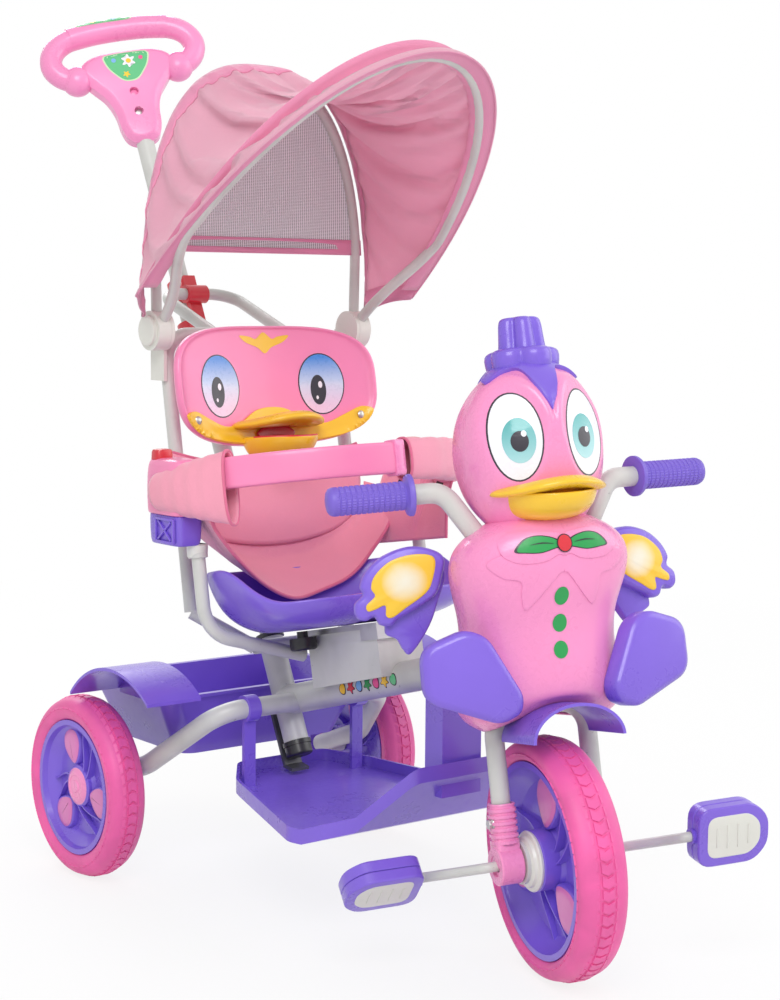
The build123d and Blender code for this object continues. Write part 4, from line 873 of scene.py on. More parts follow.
def tread(bm, radius, width, count):
    """Raised blocks over the crown, in five staggered rows."""
    pitch = 2 * pi / count
    long = pitch * radius * 0.88
    rows = ((0.0, 0.0, 0.27, 0.45, 0.0), (0.26, 0.5, 0.22, 0.0, 0.3), (-0.26, 0.5, 0.22, 0.0, -0.3),
            (0.47, 0.0, 0.18, 0.0, 0.15), (-0.47, 0.0, 0.18, 0.0, -0.15))
    for place, offset, wide, chevron, slant in rows:
        mesh = tread_block(wide * width, long, chevron, slant)
        crown = radius - 0.06 * width * (abs(place) / 0.26) ** 2.4
        lean = Matrix.Rotation(place * 1.75, 4, "Y")
        for number in range(count):
            around = Matrix.Rotation(pitch * (number + offset), 4, "X")
            stamp(bm, mesh, around @ Matrix.Translation((place * width, 0, crown)) @ lean)
        bpy.data.meshes.remove(mesh)


def foam_tyre(name, body, place, radius, depth, width, count, replaced):
    """A spun carcass with its tread."""
    bm = spun(tyre_profile(radius - 0.0014, radius - depth, width), 96, closed=True)
    tread(bm, radius, width, count)
    return piece(bm, name, body, tyre_foam, place, (replaced,), sharp=32)


# %% [markdown]
# ## Dished rims
# Each rim is one purple moulding: a deep barrel that grips the tyre, a web in its middle plane, and a hub
# tube. Three drop-shaped pink paddles stand on raised pads between pairs of curved fins. The barrel, web
# and hub are a single spun section; the fins are thin blocks bent along a spiral.


# %% Rim, paddles and fins
def face_of(side):
    """Turns a shape drawn flat, z up, so that it faces along the axle, out of one side of the wheel."""
    return Matrix(((0, 0, side, 0), (side, 0, 0, 0), (0, 1, 0, 0), (0, 0, 0, 1)))


def rim_section(grip, half_wide, hub, hub_low, hub_high):
    """Barrel, web and hub as one closed section of (across, radius) points."""
    wall = 0.003
    lip = grip + 0.003
    return [
        (-half_wide, lip), (half_wide, lip), (half_wide, grip - wall),
        (half_wide - 0.006, grip - wall - 0.002), (0.008, grip - 0.012), (0.002, grip - 0.018),
        (0.002, hub + 0.003), (0.006, hub), (hub_high - 0.002, hub), (hub_high, hub - 0.002),
        (hub_high, 0.008), (hub_low, 0.008), (hub_low, hub - 0.002), (hub_low + 0.002, hub), (-0.006, hub),
        (-0.002, hub + 0.003), (-0.002, grip - 0.018), (-0.008, grip - 0.012),
        (-half_wide + 0.006, grip - wall - 0.002), (-half_wide, grip - wall),
    ]


DROP = ((0, 0.36), (0.13, 0.46), (0.225, 0.64), (0.19, 0.8), (0.07, 0.875), (-0.07, 0.875), (-0.19, 0.8),
        (-0.225, 0.64), (-0.13, 0.46))


def fin(bm, grip, hub, turn, height):
    """A thin curved rib from the hub to the barrel."""
    steps = 9
    rows = []
    for step in range(steps + 1):
        share = step / steps
        radius = hub + (grip - 0.012 - hub) * share
        angle = turn + 0.55 * sin(share * pi / 2)
        centre = Vector((cos(angle) * radius, sin(angle) * radius, 0))
        across = Vector((-sin(angle), cos(angle), 0)) * 0.0009
        tall = Vector((0, 0, height * (1 - 0.45 * share)))
        rows.append([bm.verts.new(centre + c) for c in (across, across + tall, tall - across, -across)])
    for low, high in zip(rows, rows[1:]):
        for k in range(4):
            bm.faces.new((low[k], low[(k + 1) % 4], high[(k + 1) % 4], high[k]))
    bm.faces.new(rows[0])
    bm.faces.new(rows[-1][::-1])


def wheel(name, body, place, radius, depth, width, hub, hub_low, hub_high, count, tyre_node, rim_node):
    """A tyre on a moulded rim, with fins, pads and paddles on both faces."""
    grip = radius - depth
    foam_tyre(name + "_tread_tyre", body, place, radius, depth, width, count, tyre_node)
    bm = spun(rim_section(grip, width / 2 - 0.003, hub, hub_low, hub_high), 96, closed=True)
    piece(bm, name + "_moulded_rim", body, purple, place, (rim_node,), sharp=30)
    ribs = bmesh.new()
    for side in (-1, 1):
        reach = hub_high if side > 0 else -hub_low
        side_ribs = bmesh.new()
        for third in range(3):
            for nudge in (0.75, 1.15):
                fin(side_ribs, grip, hub - 0.002, third * 2 * pi / 3 + pi / 2 + nudge, min(0.012, reach))
        side_ribs.transform(face_of(side))
        mesh = bpy.data.meshes.new("ribs")
        side_ribs.to_mesh(mesh)
        side_ribs.free()
        ribs.from_mesh(mesh)
        bpy.data.meshes.remove(mesh)
        face_name = "outer" if side > 0 else "inner"
        shape = outline([(x * grip, y * grip) for x, y in DROP])
        frame_shape = outline([(x * grip * 1.12, (y - 0.62) * grip * 1.1 + 0.62 * grip) for x, y in DROP])
        for third in range(3):
            turned = Matrix.Rotation(third * 2 * pi / 3, 4, "Z")
            seat_at = place @ face_of(side) @ turned @ Matrix.Translation((0, 0, 0.001))
            pad = pillow(frame_shape, 0.008, 0.0012, 2, 0.004)
            piece(pad, f"{name}_pad_{third}_{face_name}", body, purple, seat_at, sharp=50)
            drop = pillow(shape, 0.0095, 0.0018, 4, 0.012)
            piece(drop, f"{name}_paddle_{third}_{face_name}", body, paddle_pink, seat_at, sharp=50)
    piece(ribs, name + "_fins", body, purple, place, sharp=30)


WHEEL_SPIN = Matrix.Rotation(radians(18), 4, "X")
tyre_low, tyre_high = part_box("right_rear_tyre")
rear_radius = (tyre_high.z - tyre_low.z) / 2
rear_width = tyre_high.x - tyre_low.x
for hand, side in SIDES:
    centre = Vector(joints[f"{hand}_rear_wheel_spin"]["pos_m"])
    outward_face = Matrix.Translation(centre) @ Matrix.Rotation(pi if side < 0 else 0, 4, "Z")
    wheel(f"{hand}_rear", f"{hand}_rear_wheel", outward_face @ WHEEL_SPIN, rear_radius, 0.03, rear_width,
          0.024, -0.02, 0.012, 52, f"{hand}_rear_tyre", f"{hand}_rear_rim")
    cap = spun(mm((15, 0), (15.5, 6), (14, 7.5), (14, 12.5), (15, 13.5), (14.8, 16.5), (13.5, 18.5),
                  (11.8, 21.5), (8, 22.2)), 48)
    piece(cap, f"{hand}_ringed_cap", f"{hand}_rear_wheel", duck_pink, outward_face, (f"{hand}_hub_cap",),
          sharp=35)

wheel("front", "front_wheel", STEER @ WHEEL_SPIN, 0.12, 0.026, 0.05, 0.03, -0.024, 0.024, 60,
      "front_tyre", "front_rim")
flange_section = mm((23.5, 0), (23.5, 29), (26, 30), (27.5, 29), (28.5, 25.5), (31.5, 24.5), (32.5, 22.5),
                    (33.5, 20.5), (37, 20), (37, 0))
for hand, side in SIDES:
    flange = spun([(along * side, radius) for along, radius in flange_section], 56)
    piece(flange, f"{hand}_hub_flange", "front_wheel", pale_grey, STEER, sharp=35)
print("wheels done")

# %% [markdown]
# ## The duck's head
# The head is one blow-moulded egg. A loft of oval rings gives its shape, and once that is subdivided the eye
# sockets are pressed into the dense mesh and a brow is raised over each, which is how the mould is cut too.
# The eyes are prints: thin layers laid one over the other on the socket's floor.

# %% Head with its sockets and brows
HEAD_LEVELS = (
    (0.32, 0.04, 0.036, -0.038, 2.0), (0.331, 0.05, 0.046, -0.038, 2.0), (0.35, 0.064, 0.062, -0.036, 2.1),
    (0.378, 0.072, 0.07, -0.035, 2.15), (0.408, 0.0735, 0.0715, -0.035, 2.15),
    (0.44, 0.066, 0.064, -0.037, 2.1), (0.466, 0.047, 0.046, -0.041, 2.0), (0.479, 0.026, 0.026, -0.043, 2.0),
    (0.484, 0.008, 0.008, -0.044, 2.0),
)
EYE_X, EYE_H = 0.0355, 0.4085
EYE_HALF_X, EYE_HALF_H = 0.0235, 0.0425
SOCKET_DEPTH, BROW_EDGE = 0.0052, 1.42  # the brow ends at this many times the eye's own size


def press_sockets(verts):
    """Sink an oval around each eye and raise a soft brow above it."""
    for vert in verts:
        x, y, z = vert.co
        if y > -0.045:
            continue
        for side in (-1, 1):
            aside = (x - side * EYE_X) / (EYE_HALF_X * 1.12)
            above_eye = (z - EYE_H) / (EYE_HALF_H * 1.08)
            flat = sqrt(aside**2 + above_eye**2)
            if flat < 1:
                vert.co.y += SOCKET_DEPTH * (1 - flat**4)
            elif flat < BROW_EDGE:
                crest = sin((flat - 1) / (BROW_EDGE - 1) * pi)
                above = max(0.0, min(1.0, (z - EYE_H + 0.012) / 0.03))
                vert.co.y -= 0.0036 * crest * above
                vert.co.z += 0.0012 * crest * above


head = piece(lofted(HEAD_LEVELS, 40), "duck_head_shell", "steering", duck_pink, STEER, ("duck_head",),
             levels=3)
settled(head)
head.data.transform(STEER.inverted())
press_sockets(head.data.vertices)
head.data.transform(STEER)
head_skin = evaluated(head)
FORWARD = STEER.to_3x3() @ Vector((0, 1, 0))
DOWN = STEER.to_3x3() @ Vector((0, 0, -1))


def printed(name, points, skin, body, material, place, look, lift, cuts=3, thick=0.0):
    """A thin layer over an outline, laid on a skin. With a thickness it becomes a raised moulding."""
    bm = disc(points, cuts)
    laid_on(bm, skin, place, lift, look)
    made = piece(bm, name, body, material, recalc=False)
    bm = bmesh.new()
    bm.from_mesh(made.data)
    bm.normal_update()
    mean_normal = sum((face.normal for face in bm.faces), Vector((0, 0, 0)))
    if mean_normal.dot(look) > 0:
        bmesh.ops.reverse_faces(bm, faces=bm.faces)
    bm.to_mesh(made.data)
    bm.free()
    if thick:
        walled(made, thick, -1)
        rounding = made.modifiers.new("eased edge", "BEVEL")
        rounding.width = thick * 0.45
        rounding.segments = 3
        rounding.limit_method = "ANGLE"
        rounding.angle_limit = radians(50)
    return made


# %% Eyes in four layers
def iris_finish():
    """A teal iris that pales towards its foot."""
    finish = Finish("iris", rgb(40, 170, 168), 0.2, coat_weight=0.5)
    up = finish.axes(finish.turned(STEER))[2]
    fade = up.between(EYE_H - 0.03, EYE_H + 0.02)
    finish.set("Base Color", finish.blend(fade, rgb(176, 222, 228), rgb(24, 160, 158)))
    finish.set("Roughness", 0.2 + finish.noise(300) * 0.08)
    finish.bump(finish.noise(900), 0.00003)
    return finish.material


iris = iris_finish()
for hand, side in SIDES:
    eye = (side * EYE_X, EYE_H)
    look_at = (side * (EYE_X - 0.002), EYE_H - 0.004)
    layers = (
        ("outline", eye, EYE_HALF_X, EYE_HALF_H, ink, 0.0004),
        ("white", eye, EYE_HALF_X - 0.0014, EYE_HALF_H - 0.0015, white, 0.0007),
        ("iris", look_at, 0.0145, 0.0215, iris, 0.001),
        ("pupil", (look_at[0], look_at[1] - 0.001), 0.0078, 0.0098, ink, 0.0013),
        ("glint", (look_at[0] + 0.004, look_at[1] + 0.006), 0.0024, 0.003, white, 0.0016),
    )
    for label, (x, h), half_x, half_h, finish, lift in layers:
        printed(f"{hand}_eye_{label}", oval((x, h), half_x, half_h), head_skin, "steering", finish,
                facing(STEER, -0.1), FORWARD, lift)
print("head and eyes done")

# %% [markdown]
# ## Bill
# The upper bill is a broad rolled lip that arches over an open mouth, and the lower bill is a small scoop
# under it, orange inside. Both start from a simple rounded plate or bowl and are bent by one cosine.


# %% Upper lip and lower scoop
def upper_bill():
    """A domed plate with a rounded nose, arched over the mouth."""
    shape = [(x, -0.064 - y) for x, y in (
        (-0.0585, 0.004), (-0.055, 0.022), (-0.044, 0.044), (-0.026, 0.061), (0, 0.067),
        (0.026, 0.061), (0.044, 0.044), (0.055, 0.022), (0.0585, 0.004), (0.045, -0.02), (0, -0.034),
        (-0.045, -0.02))]
    bm = pillow(outline(shape, 5), 0.0065, 0.0055, 4, 0.024)
    for vert in bm.verts:
        x, y, z = vert.co
        share = max(0.0, min(1.0, (-0.06 - y) / 0.05))
        arch = 0.01 * cos(pi * x / 0.118) * (0.35 + 0.65 * share) - 0.002 * share
        tips = 0.004 * (abs(x) / 0.058) ** 3
        vert.co.z = z + 0.3475 + arch + tips
    return bm


def lower_bill():
    """A shallow bowl whose inside takes the second material."""
    bm = bmesh.new()
    bowl = ((0.3275, 0.016, 0.018), (0.33, 0.031, 0.034), (0.3365, 0.041, 0.046), (0.344, 0.045, 0.052),
            (0.35, 0.0465, 0.054), (0.352, 0.045, 0.0525), (0.3505, 0.0425, 0.049), (0.343, 0.037, 0.043),
            (0.337, 0.026, 0.031), (0.3345, 0.01, 0.014))
    rings = [ring(bm, (0, -0.069, z), hx, hy, 2.1, 36) for z, hx, hy in bowl]
    loft(bm, rings)
    for vert in bm.verts:
        vert.co.z += 0.004 * (abs(vert.co.x) / 0.045) ** 2 * (1 if vert.co.z > 0.34 else 0.4)
    for face in bm.faces:
        middle = face.calc_center_median()
        inside = abs(middle.x) < 0.044 and middle.z > 0.333 and face.normal.z > 0.0
        face.material_index = 1 if inside else 0
    return bm


piece(upper_bill(), "duck_upper_bill", "steering", bill_yellow, STEER, ("duck_bill",), levels=2)
scoop = lower_bill()
bmesh.ops.recalc_face_normals(scoop, faces=scoop.faces)
for face in scoop.faces:
    middle = face.calc_center_median()
    deep = (middle.x / 0.0425) ** 2 + ((middle.y + 0.069) / 0.0495) ** 2 < 1
    face.material_index = 1 if deep and face.normal.z > 0.05 else 0
piece(scoop, "duck_lower_bill", "steering", (bill_yellow, bill_orange), STEER, levels=2)
palate = lofted(((0.344, 0.034, 0.03, -0.07, 2), (0.3475, 0.042, 0.04, -0.072, 2),
                 (0.356, 0.038, 0.036, -0.072, 2)))
piece(palate, "duck_palate", "steering", bill_orange, STEER, levels=1)

# %% [markdown]
# ## Crest
# A purple flower sits on the crown: a star of soft petals that follow the head, the longest over the brow,
# then a smaller star and a cluster of five round-topped lobes.


# %% Petals and lobes
def star(reach, dip, count=5, front=0.0, turn=0.0):
    """A star with soft points. front makes the lowest one longer."""
    points = []
    for step in range(count * 12):
        angle = 2 * pi * step / (count * 12) - pi / 2
        lobe = (0.5 + 0.5 * cos(count * (angle + pi / 2) + turn)) ** 1.4
        long = front * max(0.0, cos(angle + pi / 2)) ** 12
        radius = reach - dip * (1 - lobe) + long
        points.append((cos(angle) * radius, sin(angle) * radius))
    return points


TOP_VIEW = STEER @ Matrix.Translation((0, -0.043, 0.56))
petals = printed("duck_crest_petals", star(0.052, 0.016, 5, 0.0085), head_skin, "steering", purple, TOP_VIEW,
                 DOWN, 0.0045, 4, 0.0065)
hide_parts("duck_crest")


def lobed(levels, count, turn=0.0):
    """A loft whose rings swell into round lobes."""
    bm = bmesh.new()
    rings = []
    for height, radius, dip in levels:
        verts = ring(bm, (0, -0.043, height), 1, 1, 2, 60)
        for vert in verts:
            angle = atan2(vert.co.y + 0.043, vert.co.x)
            swell = radius - dip * (1 - abs(cos(count / 2 * angle + turn)) ** 0.7)
            vert.co.x = cos(angle) * swell
            vert.co.y = -0.043 + sin(angle) * swell
        rings.append(verts)
    loft(bm, rings)
    return bm


piece(lobed(((0.474, 0.036, 0.009), (0.489, 0.0385, 0.01), (0.4935, 0.036, 0.009), (0.4955, 0.03, 0.007)), 5,
            0.3),
      "duck_crest_step", "steering", purple, STEER, levels=1)
piece(lobed(((0.49, 0.0255, 0.007), (0.5, 0.0235, 0.008), (0.52, 0.0225, 0.008), (0.5245, 0.0205, 0.0075),
             (0.526, 0.0165, 0.005)), 5, 1.1), "duck_crest_lobes", "steering", purple, STEER, levels=1)

# %% [markdown]
# ## Body, collar and bow
# The body is a second egg with a waist. Its collar is embossed: two scalloped layers, thin mouldings laid on
# the chest with eased edges in the same pink. The bow and buttons are prints, so they are hardly raised.

# %% Body
BODY_LEVELS = (
    (0.13, 0.06, 0.046, 0.0, 2.1), (0.14, 0.077, 0.06, 0.0, 2.2), (0.16, 0.085, 0.0665, 0.0, 2.3),
    (0.195, 0.0805, 0.0595, -0.006, 2.2), (0.232, 0.0765, 0.0515, -0.015, 2.2),
    (0.265, 0.0875, 0.0575, -0.028, 2.2), (0.292, 0.0925, 0.0605, -0.035, 2.25),
    (0.314, 0.083, 0.058, -0.037, 2.1), (0.33, 0.054, 0.048, -0.038, 2.0), (0.336, 0.036, 0.034, -0.038, 2.0),
)


def body_shell():
    """The waisted egg, lifted at its foot where it sits over the mudguard."""
    bm = bmesh.new()
    rings = [ring(bm, (0, mid, z), hx, hy, square, 48) for z, hx, hy, mid, square in BODY_LEVELS]
    loft(bm, rings, ends=(False, True))
    for vert in bm.verts:
        if vert.co.z < 0.15:
            over_hood = max(0.0, cos(min(1.0, abs(vert.co.x) / 0.062) * pi / 2))
            ahead = max(0.0, min(1.0, (0.01 - vert.co.y) / 0.03))
            vert.co.z += 0.02 * over_hood * (0.4 + 0.6 * ahead)
    return bm


body = piece(body_shell(), "duck_body_shell", "steering", duck_pink, STEER, ("duck_body",), levels=3)
settled(body)
body_skin = evaluated(body)
walled(body, 0.0025, -1)


def chest(name, points, finish, lift, cuts=3, thick=0.0):
    """A print or moulding on the body's front."""
    return printed(name, points, body_skin, "steering", finish, facing(STEER, -0.2), FORWARD, lift, cuts,
                   thick)


def mirrored(points, side):
    """The same outline for either side, kept running the same way round."""
    return points if side > 0 else [(-point[0], point[1]) for point in reversed(points)]


COLLAR_OUTER = mm((0, 300), (30, 301), (58, 299), (72, 292), (66, 283), (56, 276), (42, 272), (40, 258),
                  (36, 245), (29, 249), (17, 262), (4, 277), (0, 279))
COLLAR_INNER = mm((0, 313), (20, 318), (45, 320), (60, 311), (58, 297), (42, 289), (20, 289), (6, 295),
                  (0, 294))
LEAF = mm((4, 307.5), (14, 312.5), (28, 314.5), (40, 311), (48.5, 301), (38, 298.5), (24, 297.5),
          (12, 300), (4, 302.5))
VEIN = mm((10, 305.2), (22, 307.5), (34, 305.8), (22, 306.2))
for hand, side in SIDES:
    chest(f"{hand}_collar_outer", mirrored(outline(COLLAR_OUTER, 3), side), duck_pink, 0.0014, 3, 0.003)
    chest(f"{hand}_collar_inner", mirrored(outline(COLLAR_INNER, 4), side), duck_pink, 0.0026, 3, 0.003)
    leaf = outline(LEAF, 4)
    middle = sum(leaf, Vector((0, 0))) / len(leaf)
    chest(f"{hand}_bow_edge", mirrored(leaf, side), ink, 0.0031, 3)
    inner = [middle + (p - middle) * 0.9 for p in leaf]
    chest(f"{hand}_bow_leaf", mirrored(inner, side), green, 0.0034, 3)
    chest(f"{hand}_bow_vein", mirrored(outline(VEIN, 3), side), ink, 0.0037, 2)
chest("bow_knot_edge", oval((0, 0.305), 0.008, 0.0088), ink, 0.004, 2)
bow_knot = chest("bow_knot", oval((0, 0.305), 0.0068, 0.0078), red, 0.0044, 2)
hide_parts("duck_bow")
for number, height in enumerate((0.2555, 0.23, 0.2045)):
    chest(f"belly_button_{number}", oval((0, height), 0.0074, 0.0085), green, 0.0005, 2)
print("body done")

# %% [markdown]
# ## Wings and feet
# A wing is two mouldings: a long pointed under-feather and a scalloped cover feather whose yellow inlay
# pales to white in the middle. The feet are domed kites. All four are pillows: an outline raised and then
# inset step by step, so the face swells like blow-moulded plastic.


# %% Rounded outlines and an inlay that fades
def rounded(points, radius, steps=5):
    """A polygon with its corners rounded by short curves."""
    made = []
    count = len(points)
    for index in range(count):
        corner = Vector(points[index])
        before = Vector(points[index - 1]) - corner
        after = Vector(points[(index + 1) % count]) - corner
        reach = min(radius, before.length * 0.45, after.length * 0.45)
        start, end = corner + before.normalized() * reach, corner + after.normalized() * reach
        for step in range(steps + 1):
            t = step / steps
            made.append(start * (1 - t) ** 2 + corner * 2 * t * (1 - t) + end * t**2)
    return made


def inlay_finish(matrix, centre, reach):
    """Yellow at the rim, fading to white around a point."""
    finish = Finish("wing inlay", rgb(248, 205, 60), 0.3, coat_weight=0.2)
    across, _, up = finish.axes(finish.turned(matrix))
    aside, above = across.abs() - centre[0], up - centre[1]
    away = (aside * aside * 0.8 + above * above) / reach**2
    fade = (away + finish.noise(90) * 0.2).between(0.1, 0.8)
    tint = finish.blend(fade, rgb(240, 236, 214), rgb(244, 198, 50))
    finish.set("Base Color", tint)
    finish.set("Roughness", 0.3 + finish.noise(200) * 0.1)
    finish.bump(finish.noise(60), 0.0001)
    return finish.material


inlay = inlay_finish(STEER, (0.126, 0.283), 0.024)
UNDER_FEATHER = mm((86, 292), (150, 276), (158, 262), (154, 250), (147, 244), (146, 234), (136, 228),
                   (131, 218), (124, 213), (106, 234), (94, 258))
COVER_FEATHER = mm((84, 302), (96, 312), (118, 316.5), (143, 310), (160, 297), (168, 283), (166, 274),
                   (174.5, 266), (174.5, 254), (166, 249), (157, 252), (152, 244), (142, 242), (134, 248),
                   (120, 254), (104, 262), (94, 270), (88, 284))
INLAY = mm((94, 303), (112, 308.5), (136, 304.5), (153, 292), (158, 280), (155, 272), (164, 264),
           (163, 258), (155, 259.5), (146, 262), (146, 252), (140, 250), (126, 258), (106, 270), (98, 282))
WING_HINGE, WING_SWEEP = 0.08, 13
FOOT_HINGE, FOOT_SWEEP = 0.03, 12


def swept(side, hinge, angle):
    """A hand's frame on the duck, swung back in plan about a hinge beside the body."""
    hinge_at = Vector((hinge, 0, 0))
    turn = Matrix.Translation(hinge_at) @ Matrix.Rotation(radians(angle), 4,
                                                          "Z") @ Matrix.Translation(-hinge_at)
    return STEER @ handed(side) @ turn


for hand, side in SIDES:
    wing_frame = swept(side, WING_HINGE, WING_SWEEP)
    under = pillow(outline(UNDER_FEATHER, 5), 0.007, 0.0015, 2, 0.004)
    piece(under, f"{hand}_under_feather", "steering", purple, facing(wing_frame, 0.014), sharp=50)
    cover = pillow(outline(COVER_FEATHER, 5), 0.009, 0.0035, 3, 0.007)
    piece(cover, f"{hand}_cover_feather", "steering", purple, facing(wing_frame, 0.006),
          paired(side, "duck_wings"), sharp=50)
    patch = pillow(outline(INLAY, 5), 0.0132, 0.0008, 2, 0.004)
    piece(patch, f"{hand}_wing_inlay", "steering", inlay, facing(wing_frame, 0.006), sharp=50)

FOOT = mm((124, 219), (80, 233.5), (60, 224), (31, 166), (34, 150), (55, 141), (125, 169))
for hand, side in SIDES:
    foot = pillow(rounded(FOOT, 0.016, 8), 0.02, 0.004, 4, 0.014)
    foot_frame = swept(side, FOOT_HINGE, FOOT_SWEEP)
    piece(foot, f"{hand}_webbed_foot", "steering", purple, facing(foot_frame, -0.058),
          paired(side, "duck_feet"), sharp=60, bevel=0.003)
print("wings and feet done")

# %% [markdown]
# ## Handlebar grips, fork ends and pedals
# A grip is a spun sleeve with close rings and lengthwise flutes, a domed end and a wide inner flange. The
# fork ends are pink clamps: ribbed sleeves with a hex bolt, over a round boss that carries the crank.

# %% Grips
BAR_END, BAR_BEND = Vector((0.197, -0.008, 0.365)), Vector((0.088, -0.024, 0.365))


def grip():
    """A ringed sleeve with its domed end at the origin and its flange inboard."""
    profile = [(-0.004, 0.0005), (-0.0038, 0.006), (-0.003, 0.0095), (-0.001, 0.0125), (0.002, 0.0138)]
    rings = 13
    for k in range(rings):
        start = 0.004 + k * 0.0053
        profile += [(start, 0.014), (start + 0.0034, 0.014), (start + 0.004, 0.013), (start + 0.0047, 0.013)]
    profile += [(0.0735, 0.0142), (0.0745, 0.019), (0.0765, 0.0203), (0.0795, 0.0203), (0.08, 0.0195),
                (0.08, 0.0101)]
    bm = spun(profile, 64)
    for vert in bm.verts:
        radius = sqrt(vert.co.y**2 + vert.co.z**2)
        if 0.003 < vert.co.x < 0.0725 and radius > 0.0133:
            flute = 0.0006 * (0.5 + 0.5 * cos(32 * atan2(vert.co.z, vert.co.y)))
            vert.co.y *= 1 - flute / radius
            vert.co.z *= 1 - flute / radius
    return bm


for hand, side in SIDES:
    inward = (BAR_BEND - BAR_END).normalized()
    upright = Vector((0, 0, 1))
    matrix = Matrix((inward, upright.cross(inward), upright)).transposed().to_4x4()
    matrix = Matrix.Translation(BAR_END) @ matrix
    piece(grip(), f"{hand}_fluted_grip", "steering", soft_purple, STEER @ handed(side) @ matrix,
          paired(side, "handlebar_grips"), sharp=35)

# %% Fork clamps with their bolts
FORK_X = 0.05
for hand, side in SIDES:
    sleeve = bmesh.new()
    for k in range(6):
        low = 0.021 + k * 0.0062
        rings = [ring(sleeve, (side * FORK_X, 0, low + dz), 0.0118 + dr, 0.0135 + dr, 2.6, 40)
                 for dz, dr in ((0.0, 0.0), (0.0004, 0.0014), (0.0034, 0.0014), (0.0038, 0.0), (0.0062, 0.0))]
        loft(sleeve, rings, ends=(False, False))
    cap = [ring(sleeve, (side * FORK_X, 0, 0.0582 + dz), 0.0118 + dr, 0.0135 + dr, 2.6, 40)
           for dz, dr in ((0.0, 0.0), (0.0004, 0.0008), (0.0018, 0.0004), (0.002, -0.0022))]
    loft(sleeve, cap, ends=(False, False))
    block(sleeve, (side * FORK_X, 0, 0.012), (0.024, 0.024, 0.03), 0.004, 3)
    piece(sleeve, f"{hand}_clamp_sleeve", "steering", duck_pink, STEER, sharp=35)
    boss = spun([(side * along, radius) for along, radius in (
        (0.038, 0.011), (0.038, 0.0175), (0.0395, 0.019), (0.061, 0.019), (0.0625, 0.0178), (0.0625, 0.0105),
        (0.06, 0.01), (0.06, 0.0058))], 56)
    piece(boss, f"{hand}_clamp_boss", "steering", duck_pink, STEER, paired(side, "fork_ends"), sharp=35)
    bolt = bmesh.new()
    bmesh.ops.create_cone(bolt, cap_ends=True, segments=6, radius1=0.0052, radius2=0.0052, depth=0.004)
    bmesh.ops.create_cone(bolt, cap_ends=True, segments=28, radius1=0.0068, radius2=0.0062, depth=0.0016,
                          matrix=Matrix.Translation((0, 0, -0.0022)))
    out = Matrix.Translation((side * 0.064, 0, 0.041)) @ Matrix.Rotation(side * pi / 2, 4, "Y")
    piece(bolt, f"{hand}_clamp_bolt", "steering", steel, STEER @ out, sharp=25, bevel=0.0005)

# %% Pedals
PEDAL_TILT = {"right": -35, "left": -75}
pedal_outline = rounded(mm((-30, 0), (30, 0), (30, 62), (14, 78), (-14, 78), (-30, 62)),
                        0.016)
insert_outline = rounded(mm((-21, 10), (21, 10), (21, 56), (10, 68), (-10, 68), (-21, 56)), 0.011)
for hand, side in SIDES:
    pin = STEER.inverted() @ Vector(joints[f"{hand}_pedal_spin"]["pos_m"])
    tilt = radians(PEDAL_TILT[hand])
    deep = Vector((0, cos(tilt), sin(tilt)))
    out = Vector((side, 0, 0))
    origin = Vector((side * 0.122, pin.y, pin.z))
    matrix = Matrix((deep, out, deep.cross(out))).transposed().to_4x4()
    place = STEER @ Matrix.Translation(origin) @ matrix
    block_bm = pillow(pedal_outline, 0.0112, 0.0008, 2, 0.004)
    bmesh.ops.translate(block_bm, vec=(0, 0, 0.0002), verts=block_bm.verts)
    bmesh.ops.mirror(block_bm, geom=everything(block_bm), axis="Z", merge_dist=0)
    piece(block_bm, f"{hand}_pedal_block", f"{hand}_pedal", purple, place, (f"{hand}_pedal",), sharp=50,
          bevel=0.002)
    for face_side in (-1, 1):
        tread_bm = pillow(insert_outline, 0.0012, 0.0005, 2, 0.003)
        for k in range(4):
            block(tread_bm, (0, 0.02 + k * 0.0115, 0.002), (0.026 - 0.004 * abs(k - 1.5), 0.0016, 0.001),
                  0.0004, 1)
        flip = Matrix.Rotation(0 if face_side > 0 else pi, 4, "Y")
        piece(tread_bm, f"{hand}_pedal_insert_{'upper' if face_side > 0 else 'lower'}", f"{hand}_pedal",
              pale_grey,
              place @ flip @ Matrix.Translation((0, 0, 0.0112)), sharp=40)
    collar = spun(mm((0, 5.2), (0, 7.8), (3, 7.2), (3, 5.2)), 32, axis=(0, 1, 0))
    piece(collar, f"{hand}_pedal_collar", f"{hand}_pedal", purple, place @ Matrix.Translation((0, -0.003, 0)))
print("controls done")

# %% [markdown]
# ## Push handle
# The parent's handle is one blow-moulded ring with a knuckle at each lower corner and a Y-shaped web that
# narrows to a round neck on the pole. A bent tube, two balls and a two-sided pillow give those three shapes,
# and the screw holes are cut through the web's skin with a boolean, so their floors are real.


# %% Two-sided pillows and drilled holes
def two_sided(bm):
    """Close a one-sided pillow with its own mirror image."""
    floor = [face for face in bm.faces if all(abs(vert.co.z) < 0.0000001 for vert in face.verts)]
    bmesh.ops.delete(bm, geom=floor, context="FACES_ONLY")
    bmesh.ops.mirror(bm, geom=everything(bm), axis="Z", merge_dist=0.000001)
    return bm


